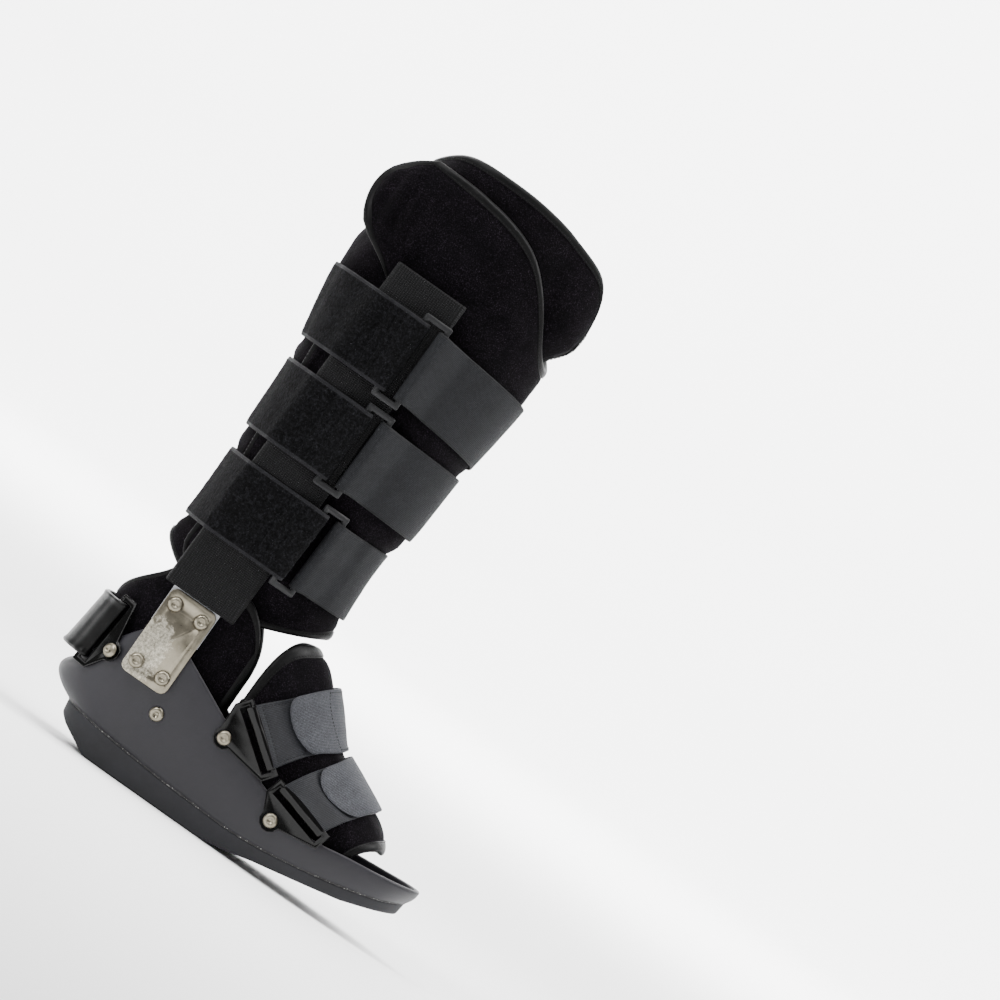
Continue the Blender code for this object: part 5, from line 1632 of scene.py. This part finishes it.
def make_foot(name, rear, front, rivet):
    tracks = [foot_track(rear, front, share + 0.5) for share in ROUND_SHARES]
    lengths = lengths_along(tracks[MIDDLE_ROW])
    start = find_angle(tracks[MIDDLE_ROW], FOOT_BAR_ANGLE)
    total = find_angle(tracks[MIDDLE_ROW], -FOOT_BAR_ANGLE) - start
    fold = fold_profile(TAB_THICKNESS, FOOT_BAR_HEIGHT, CHAFE_THICKNESS, FOLD_TAIL, FOOT_FIT)
    bars = []
    for side_name, side, where in (("lateral", -1, start), ("medial", 1, start + total)):
        column = column_at(lengths, where)
        ends = [track_point(tracks[i], column, FOOT_BAR_HEIGHT) for i in (0, -1)]
        frame_here = chafe_frame(ends, rivet, side)
        seats = [ends[0].lerp(ends[1], share + 0.5) for share in ROUND_SHARES]
        headings = frame_here[1], frame_here[1].cross(frame_here[2])
        bars.append((where, FOOT_BAR_HEIGHT, [(seat, *headings) for seat in seats]))
        chafe = f"foot_chafe_{name}_{side_name}"
        bevelled(f"{chafe}_moulding", chafe, vinyl, *CHAFE_EDGE)
        rivets.append(
            (f"rivet_foot_{name}_{side_name}", frame_here[0], headings[1], CHAFE_THICKNESS)
        )
    width = (bars[0][2][-1][0] - bars[0][2][0][0]).length
    rows = ribbon_rows(tracks, bars[0], 1, fold, total * FOOT_STRAP_SHARE, TAB_THICKNESS)
    made = tape_piece(
        f"foot_loop_{name}", f"foot_strap_{name}", rows, width, TAB_THICKNESS,
        (patch, vinyl), relief=loop_relief, head=LOOP_HEAD,
    )
    inset = width / 2 - 3 * MM
    seams = [along_tape(made, LOOP_PATCH, side * inset) for side in (-1, 1)]
    seams += [over_tape(made, at, inset) for at in LOOP_PATCH]
    sew(f"foot_loop_{name}_stitches", seams, STRAP_STITCH)
    over = total - total * FOOT_STRAP_SHARE - LAP_STEP
    rows = ribbon_rows(
        tracks, bars[1], -1, fold, total * FOOT_HOOK_SHARE, TAB_THICKNESS,
        (over, TAB_THICKNESS + 2 * CLEARANCE), rounding=TAB_ROUNDING,
    )
    made = tape_piece(
        f"foot_hook_{name}", f"foot_tab_{name}", rows, width, TAB_THICKNESS,
        (foot_hook, foot_hook), relief=tape_relief,
    )
    last = made[3][-1]
    seams = [over_tape(made, last - TAB_SEAM, inset + 1 * MM)]
    seams += [along_tape(made, (last * 0.45, last - TAB_SEAM), side * inset) for side in (-1, 1)]
    sew(f"foot_hook_{name}_stitches", seams, STRAP_STITCH)


def make_heel_band():
    tracks = [heel_track(HEEL_BAND_LOW + HEEL_BAND_WIDTH * (share + 0.5)) for share in ROUND_SHARES]
    lengths = lengths_along(tracks[MIDDLE_ROW])
    start = find_x(tracks[MIDDLE_ROW], HEEL_BAR_X, -1)
    total = lengths[-1] - 2 * start
    swing = CHAFE_THICKNESS / 2 + BAR_CLEARANCE + BAND_THICKNESS / 2
    nose = RING_BAR / 2 + BAR_CLEARANCE + BAND_THICKNESS / 2
    half_fold = [
        (FOLD_TAIL * 0.8, -swing * 0.9),
        (FOLD_START, -swing),
        (-nose * 0.75, -swing * 0.65),
        (-nose, 0.0),
        (-nose * 0.75, swing * 0.65),
        (FOLD_START, swing),
        (FOLD_TAIL * 0.5, swing * 0.9),
    ]
    stations = list(half_fold)
    inner = [length - start for length in lengths]
    stations += [(d, swing * 0.9) for d in inner if FOLD_TAIL * 0.6 < d < total - FOLD_TAIL * 0.6]
    stations += [(total - distance, out) for distance, out in reversed(half_fold)]
    rows = [
        [track_point(track, column_at(lengths, start + d), out) for d, out in stations]
        for track in tracks
    ]
    tape_piece(
        "heel_band", "heel_strap", rows, HEEL_BAND_WIDTH, BAND_THICKNESS,
        (vinyl_band, vinyl_band), relief=soft_relief,
    )
    for side_name, side, where in (("lateral", -1, start), ("medial", 1, start + total)):
        column = column_at(lengths, where)
        ends = [track_point(tracks[i], column, 0.0) for i in (0, -1)]
        seat, along, up = chafe_frame(ends, HEEL_RIVET, side)
        chafe = f"heel_chafe_{side_name}"
        bevelled(f"{chafe}_moulding", chafe, vinyl, *CHAFE_EDGE)
        rivets.append((f"rivet_heel_{side_name}", seat, along.cross(up), CHAFE_THICKNESS))


def soft_relief(along, across, point):
    """The rolled edges of the heel band and its shallow waves."""
    roll = ease(abs(across), HEEL_BAND_WIDTH / 2 - 4 * MM, HEEL_BAND_WIDTH / 2 - 1.5 * MM)
    roll *= 1 - ease(abs(across), HEEL_BAND_WIDTH / 2 - 1.5 * MM, HEEL_BAND_WIDTH / 2)
    return roll * 0.7 * MM + noise.noise(Vector(point) / (20 * MM)) * 0.15 * MM


# Head and tail of a rivet: radius and height as shares of RIVET_HEAD and RIVET_DOME.
RIVET_PROFILE = (
    (0.00, 0.42),
    (0.14, 0.44),
    (0.26, 0.58),
    (0.38, 0.88),
    (0.48, 1.00),
    (0.64, 0.98),
    (0.82, 0.80),
    (0.94, 0.46),
    (1.00, 0.12),
    (0.99, 0.00),
)


def make_rivet_piece(name, seat, outward, covered):
    """A turned rivet with a dished head, its shank and its flat tail."""
    deep = rivet_depth(name, seat, outward)
    base = covered / 2 + CLEARANCE
    profile = [(r * RIVET_HEAD, base + z * RIVET_DOME) for r, z in RIVET_PROFILE]
    profile += [
        (RIVET_SHANK, base),
        (RIVET_SHANK, -deep),
        (RIVET_TAIL_RADIUS, -deep),
        (RIVET_TAIL_RADIUS, -deep - RIVET_TAIL),
        (0, -deep - RIVET_TAIL),
    ]
    turned = Matrix.Translation(seat) @ outward.to_track_quat("Z", "Y").to_matrix().to_4x4()
    sides = 40
    points = np.array([
        [tuple(turned @ Vector((r * math.cos(t), r * math.sin(t), z))) for r, z in profile]
        for t in (2 * math.pi * i / sides for i in range(sides))
    ])
    piece = skin(f"{name}_turned", points, (bright_nickel,))
    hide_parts(name)


def plan_at(turn):
    """Share of the foot's length and half widths at rim and seam, once round from the heel.

    turn runs from 0 at the heel along the lateral side to 1 at the toe and back to 2.
    """
    count = len(FOOT_PLAN) - 1
    at = (turn if turn <= 1 else 2 - turn) * count
    table = [(-1, FOOT_PLAN[1][0], -FOOT_PLAN[1][1], -FOOT_PLAN[1][2])]
    table += [(i, *row) for i, row in enumerate(FOOT_PLAN)]
    table += [(count + 1, FOOT_PLAN[-2][0], -FOOT_PLAN[-2][1], -FOOT_PLAN[-2][2])]
    share, rim, seam = curve_at(table, at)
    side = 1 if turn <= 1 else -1
    return min(max(share, 0), 1), rim * side, seam * side


def wall_point(turn, level):
    """The wall all round on a smooth plan. turn is what plan_at takes."""
    return wall_between(*plan_at(turn), level, smooth_seam)


def smooth_seam(x):
    return curve_at(SEAM_LINE, (x - SEAM_HEEL) / (SEAM_TOE - SEAM_HEEL))[0] * SEAM_HEIGHT


def make_shell_piece():
    grid, away = [], []
    rim_lines = [d * MM for d in (0, 0.15, 0.45, 0.9, 1.6, 3.0)]
    for i in range(SHELL_COLUMNS):
        turn = 2 * i / SHELL_COLUMNS
        edge, top = wall_point(turn, 0), wall_point(turn, 1)
        tall = top.z - edge.z
        levels = steps(0, 1 - rim_lines[-1] / tall, 22)[:-1]
        levels += [1 - d / tall for d in reversed(rim_lines)]
        share = plan_at(turn)[0]
        middle_x = floor_middle(edge.x, share)
        middle = Vector((middle_x, 0, smooth_seam(middle_x)))
        column = [tuple(middle.lerp(edge, s)) for s in (0, 0.35, 0.7, 0.95)]
        column += [tuple(wall_point(turn, level)) for level in levels]
        grid.append(column)
        away.append([3 * MM] * 4 + [min((1 - level) * tall, 3 * MM) for level in levels])
    grid, away = np.array(grid), np.array(away)
    round_off = np.sqrt(1 - (1 - np.clip(away / (1.5 * MM), 0, 1)) ** 2)
    half = SHELL_WALL / 2 * round_off
    normals = normals_of(grid, True)
    side = 1 if normals[SHELL_COLUMNS // 4, 15, 1] < 0 else -1
    piece, _, _ = slab(
        "shell_moulding", grid, -SHELL_WALL / 2 - half, -SHELL_WALL / 2 + half, (shell_skin,),
        closed=True, side=side,
    )
    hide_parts("shell")


def rounded_path(corners, radii, count=4):
    """A line through corners, each rounded off by its radius."""
    path = [corners[0]]
    for before, here, after, radius in zip(corners, corners[1:], corners[2:], radii):
        a = here + (before - here).normalized() * radius
        b = here + (after - here).normalized() * radius
        for i in range(count + 1):
            t = i / count
            path.append(a * (1 - t) ** 2 + here * 2 * t * (1 - t) + b * t**2)
    path.append(corners[-1])
    return path


def make_sole_piece():
    rings = []
    for i in range(SHELL_COLUMNS):
        turn = 2 * i / SHELL_COLUMNS
        share, _, seam_side = plan_at(turn)
        top = plan_point(share, SEAM_HEEL, SEAM_TOE, seam_side)
        low = plan_point(share, SOLE_HEEL, SOLE_TOE, seam_side)
        inset = 1 - SOLE_INSET / SHELL_HALF
        top_edge = Vector((top.x, top.y, smooth_seam(top.x) - CLEARANCE))
        low_edge = Vector((low.x, low.y * inset, sole_height(share)))
        top_x, low_x = floor_middle(top.x, share), floor_middle(low.x, share)
        top_middle = Vector((top_x, 0, smooth_seam(top_x) - CLEARANCE))
        low_share = (low_x - SOLE_HEEL) / (SOLE_TOE - SOLE_HEEL)
        low_middle = Vector((low_x, 0, sole_height(low_share)))
        corners = [top_middle, top_edge, low_edge, low_middle]
        path = rounded_path(corners, (1.6 * MM, 1.8 * MM))
        side = [path[5].lerp(path[6], k / 6) for k in range(1, 6)]
        rings.append([tuple(p) for p in path[:6] + side + path[6:]])
    piece = skin("outsole_tread", np.array(rings), (sole_skin,))
    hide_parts("outsole")


def make_seam_piece():
    """The rough line in the groove between shell and sole: a near black bead that paints the groove's
    shade, with pale specks of dried cement.
    """
    rings = []
    sides = 6
    for i in range(4 * SHELL_COLUMNS):
        turn = i / (2 * SHELL_COLUMNS)
        here, after = wall_point(turn, 0), wall_point(turn + 0.001, 0)
        along = (after - here).normalized()
        out = along.cross(Vector((0, 0, 1))).normalized()
        if out.dot(here - Vector((SHELL_SPINE[0] / 2 + SHELL_SPINE[1] / 2, 0, 0))) < 0:
            out = -out
        rough = 0.75 * MM + 0.4 * MM * noise.noise(here / (2.2 * MM))
        middle = here - out * 0.5 * MM
        ring = []
        for k in range(sides):
            turned = 2 * math.pi * k / sides
            way = out * math.cos(turned) + Vector((0, 0, math.sin(turned)))
            ring.append(tuple(middle + way * rough))
        rings.append(ring + [ring[0]])
    piece = skin("seam_groove_shade_and_cement", np.array(rings), (shade_and_cement,))
    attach(piece, "root")


def sole_height(share):
    return row_at(SOLE_LINE, share)[0] * SOLE_RISE


def make_insole_piece():
    rings = []
    for i in range(SHELL_COLUMNS):
        turn = 2 * i / SHELL_COLUMNS
        inner = wall_point(turn, 0)
        scale = 1 - (SHELL_WALL + INSOLE_ROOM) / SHELL_HALF
        x = mix(FLOOR_MIDDLE, inner.x, INSOLE_LENGTH)
        low = smooth_seam(x) + SHELL_WALL + CLEARANCE * 2
        middle_x = floor_middle(x, plan_at(turn)[0])
        low_middle = smooth_seam(middle_x) + SHELL_WALL + CLEARANCE * 2
        up = Vector((0, 0, INSOLE_THICKNESS))
        edge = Vector((x, inner.y * scale, low))
        middle = Vector((middle_x, 0, low_middle))
        path = rounded_path([middle + up, edge + up, edge, middle], (1.5 * MM, 1 * MM))
        rings.append([tuple(p) for p in path])
    piece = skin("insole_pad", np.array(rings), (insole_cloth,))
    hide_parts("insole")


def make_sleeve_piece(side_name, side):
    """The webbing tube over an upright, hemmed at both ends and stitched along its rear edge."""
    heights = [SLEEVE_BOTTOM + d * MM for d in (0, 0.3, 0.9, 2, 4)]
    heights += steps(UPRIGHT_STRAIGHT, SLEEVE_TOP - 4 * MM, 40)
    heights += [SLEEVE_TOP - d * MM for d in (2, 0.9, 0.3, 0)]
    grid = []
    fine = 10
    for corner in range(len(SLEEVE_SECTION)):
        for i in range(fine):
            column = []
            for height in heights:
                around = [sleeve_corner(height, side, corner + k) for k in (-1, 0, 1, 2)]
                table = [(k - 1, *p) for k, p in enumerate(around)]
                smooth = Vector(curve_at(table, i / fine))
                straight = around[1].lerp(around[2], i / fine)
                column.append(tuple(straight.lerp(smooth, 0.5)))
            grid.append(column)
    grid = np.array(grid)
    tall = np.array(heights)
    from_end = np.minimum(tall - tall[0], tall[-1] - tall)
    round_off = np.sqrt(1 - (1 - np.clip(from_end / (0.8 * MM), 0, 1)) ** 2)
    half = np.tile(SLEEVE_WALL / 2 * round_off, (len(grid), 1))
    normals = normals_of(grid, True)
    way = 1 if normals[fine + 5, 20, 1] < 0 else -1
    uv = np.empty((*grid.shape[:2], 2))
    uv[..., 0] = tall[None, :]
    uv[..., 1] = grid[..., 0]
    edge = int(np.argmin(grid[:, len(heights) // 2, 0]))
    piece, outer, headings = slab(
        f"sleeve_webbing_{side_name}", grid, -SLEEVE_WALL / 2 - half, -SLEEVE_WALL / 2 + half,
        (sleeve_cloth,), closed=True, side=way, uv=uv,
    )
    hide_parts(f"sleeve_{side_name}")
    lines = []
    for step in SELVAGE_ROWS:
        row = (edge + step) % len(grid)
        lines.append((outer[row, 2:-2] + headings[row, 2:-2] * 0.1 * MM, headings[row, 2:-2]))
    sew(f"sleeve_selvage_{side_name}", lines, SELVAGE_STITCH)


def set_camera():
    """Level with the middle of the boot, rolled so that the boot leans as in the photo."""
    data = bpy.data.cameras.new("view")
    camera = bpy.data.objects.new("view", data)
    bpy.context.scene.collection.objects.link(camera)
    lean = math.radians(VIEW_LEAN)
    right = Vector((math.cos(lean), 0, math.sin(lean)))
    up = Vector((-math.sin(lean), 0, math.cos(lean)))
    matrix = Matrix((right, up, Vector((0, -1, 0)))).transposed().to_4x4()
    matrix.translation = Vector((VIEW_MIDDLE[0], NEAR_SIDE - VIEW_DISTANCE, VIEW_MIDDLE[1]))
    camera.matrix_world = matrix
    data.sensor_width = SENSOR
    data.lens = SENSOR * VIEW_DISTANCE / VIEW_WIDTH
    data.clip_end = 60
    bpy.context.scene.camera = camera


def area_light(name, place, target, size, power):
    data = bpy.data.lights.new(name, "AREA")
    data.shape = "RECTANGLE"
    data.size, data.size_y = size
    data.energy = power
    light = bpy.data.objects.new(name, data)
    bpy.context.scene.collection.objects.link(light)
    light.location = place
    light.rotation_mode = "QUATERNION"
    light.rotation_quaternion = (Vector(target) - Vector(place)).to_track_quat("-Z", "Y")


def set_studio():
    """A pale floor that curves up behind the boot, and soft lights round it."""
    verts = [(x, y, z) for y, z in FLOOR_CURVE for x in (-FLOOR_HALF, FLOOR_HALF)]
    faces = [(2 * i, 2 * i + 1, 2 * i + 3, 2 * i + 2) for i in range(len(FLOOR_CURVE) - 1)]
    mesh = bpy.data.meshes.new("studio_floor")
    mesh.from_pydata(verts, [], faces)
    mesh.shade_smooth()
    floor = bpy.data.objects.new("studio_floor", mesh)
    bpy.context.scene.collection.objects.link(floor)
    material, _, shader = blank("pale_floor", 0.8)
    shader.inputs["Base Color"].default_value = linear("#fafafa")
    mesh.materials.append(material)
    world = bpy.data.worlds.new("studio")
    bpy.context.scene.world = world
    world.use_nodes = True
    world.node_tree.nodes["Background"].inputs["Color"].default_value = (1, 1, 1, 1)
    world.node_tree.nodes["Background"].inputs["Strength"].default_value = 0.4
    for light in LIGHTS:
        area_light(*light)


set_camera()
set_studio()

nap = nap_cloth()
binding = binding_tape()
pile = pile_cloth()
selvage = tape("pile_selvage", "#0a0a0c", "#202024", 0.7 * MM, 0.15 * MM)
hook = tape("calf_hook_tape", "#101113", "#1f2023", 1.0 * MM, 0.2 * MM)
hook_edge = tape("calf_hook_selvage", "#0e0f10", "#1c1d1f", 0.7 * MM, 0.1 * MM)
patch = tape("foot_webbing", "#0a0b0d", "#1e1f25", 1.1 * MM, 0.15 * MM, 0.5)
foot_hook = tape("foot_hook_tape", "#2c2d30", "#4a4b50", 1.0 * MM, 0.15 * MM)
sleeve_cloth = tape("sleeve_webbing", "#020202", "#121214", 1.7 * MM, 0.45 * MM)
shell_skin = moulded("shell_plastic", "#121116", "#19181d", 0.5, 0.6 * MM, 0.06 * MM, 0.3)
sole_skin = moulded("sole_rubber", "#1b1b1d", "#242427", 0.7, 0.6 * MM, 0.06 * MM, 0.2)
insole_cloth = moulded("insole_foam", "#0a0a0b", "#121214", 0.9, 0.9 * MM, 0.15 * MM, 0.2)
nylon = moulded("ring_nylon", "#0e0e10", "#151617", 0.45, 0.4 * MM, 0.03 * MM, 0.25)
shade_and_cement = groove_shade_and_cement()
vinyl = glossy_vinyl("glossy_vinyl", 0.22, 0.12, 0.22)
vinyl_band = glossy_vinyl("coated_band", 0.16, 0.34, 0.5)
plate_nickel = worn_nickel("scuffed_nickel_plate", True)
bright_nickel = worn_nickel("turned_nickel", False)
aluminium = aluminium_bar()
thread = plain_thread()
stitches = stitch_group()
rivets = []

make_leg_pad()
make_ankle_pad()
make_instep_pad()
make_heel_band()
for row in CALF_STRAPS:
    make_calf(*row)
for row in FOOT_STRAPS:
    make_foot(*row)
make_shell_piece()
make_sole_piece()
make_seam_piece()
make_insole_piece()
for side_name, side in (("lateral", -1), ("medial", 1)):
    make_sleeve_piece(side_name, side)
    plate = bevelled(f"plate_pressing_{side_name}", f"plate_{side_name}", plate_nickel, 0.5 * MM)
    upright = bpy.data.objects[f"upright_{side_name}"]
    upright.data.materials.clear()
    upright.data.materials.append(aluminium)
    shell_seat, shell_out = shell_point(*SHELL_RIVET)
    flip = Vector((1, -side, 1))
    rivets.append((f"rivet_shell_{side_name}", shell_seat * flip, shell_out * flip, 0.0))
    plate_y = side * (PLATE_SEAT + PLATE_THICKNESS / 2)
    middle = Vector((UPRIGHT_X, plate_y, PLATE_BOTTOM + PLATE_HEIGHT / 2))
    for along_name, along in (("rear", -1), ("front", 1)):
        for level_name, level in (("low", -1), ("high", 1)):
            seat = middle + Vector((along * PLATE_RIVET_X, 0, level * PLATE_RIVET_Z))
            name = f"rivet_plate_{side_name}_{along_name}_{level_name}"
            rivets.append((name, seat, Vector((0, side, 0)), PLATE_THICKNESS))
for row in rivets:
    make_rivet_piece(*row)
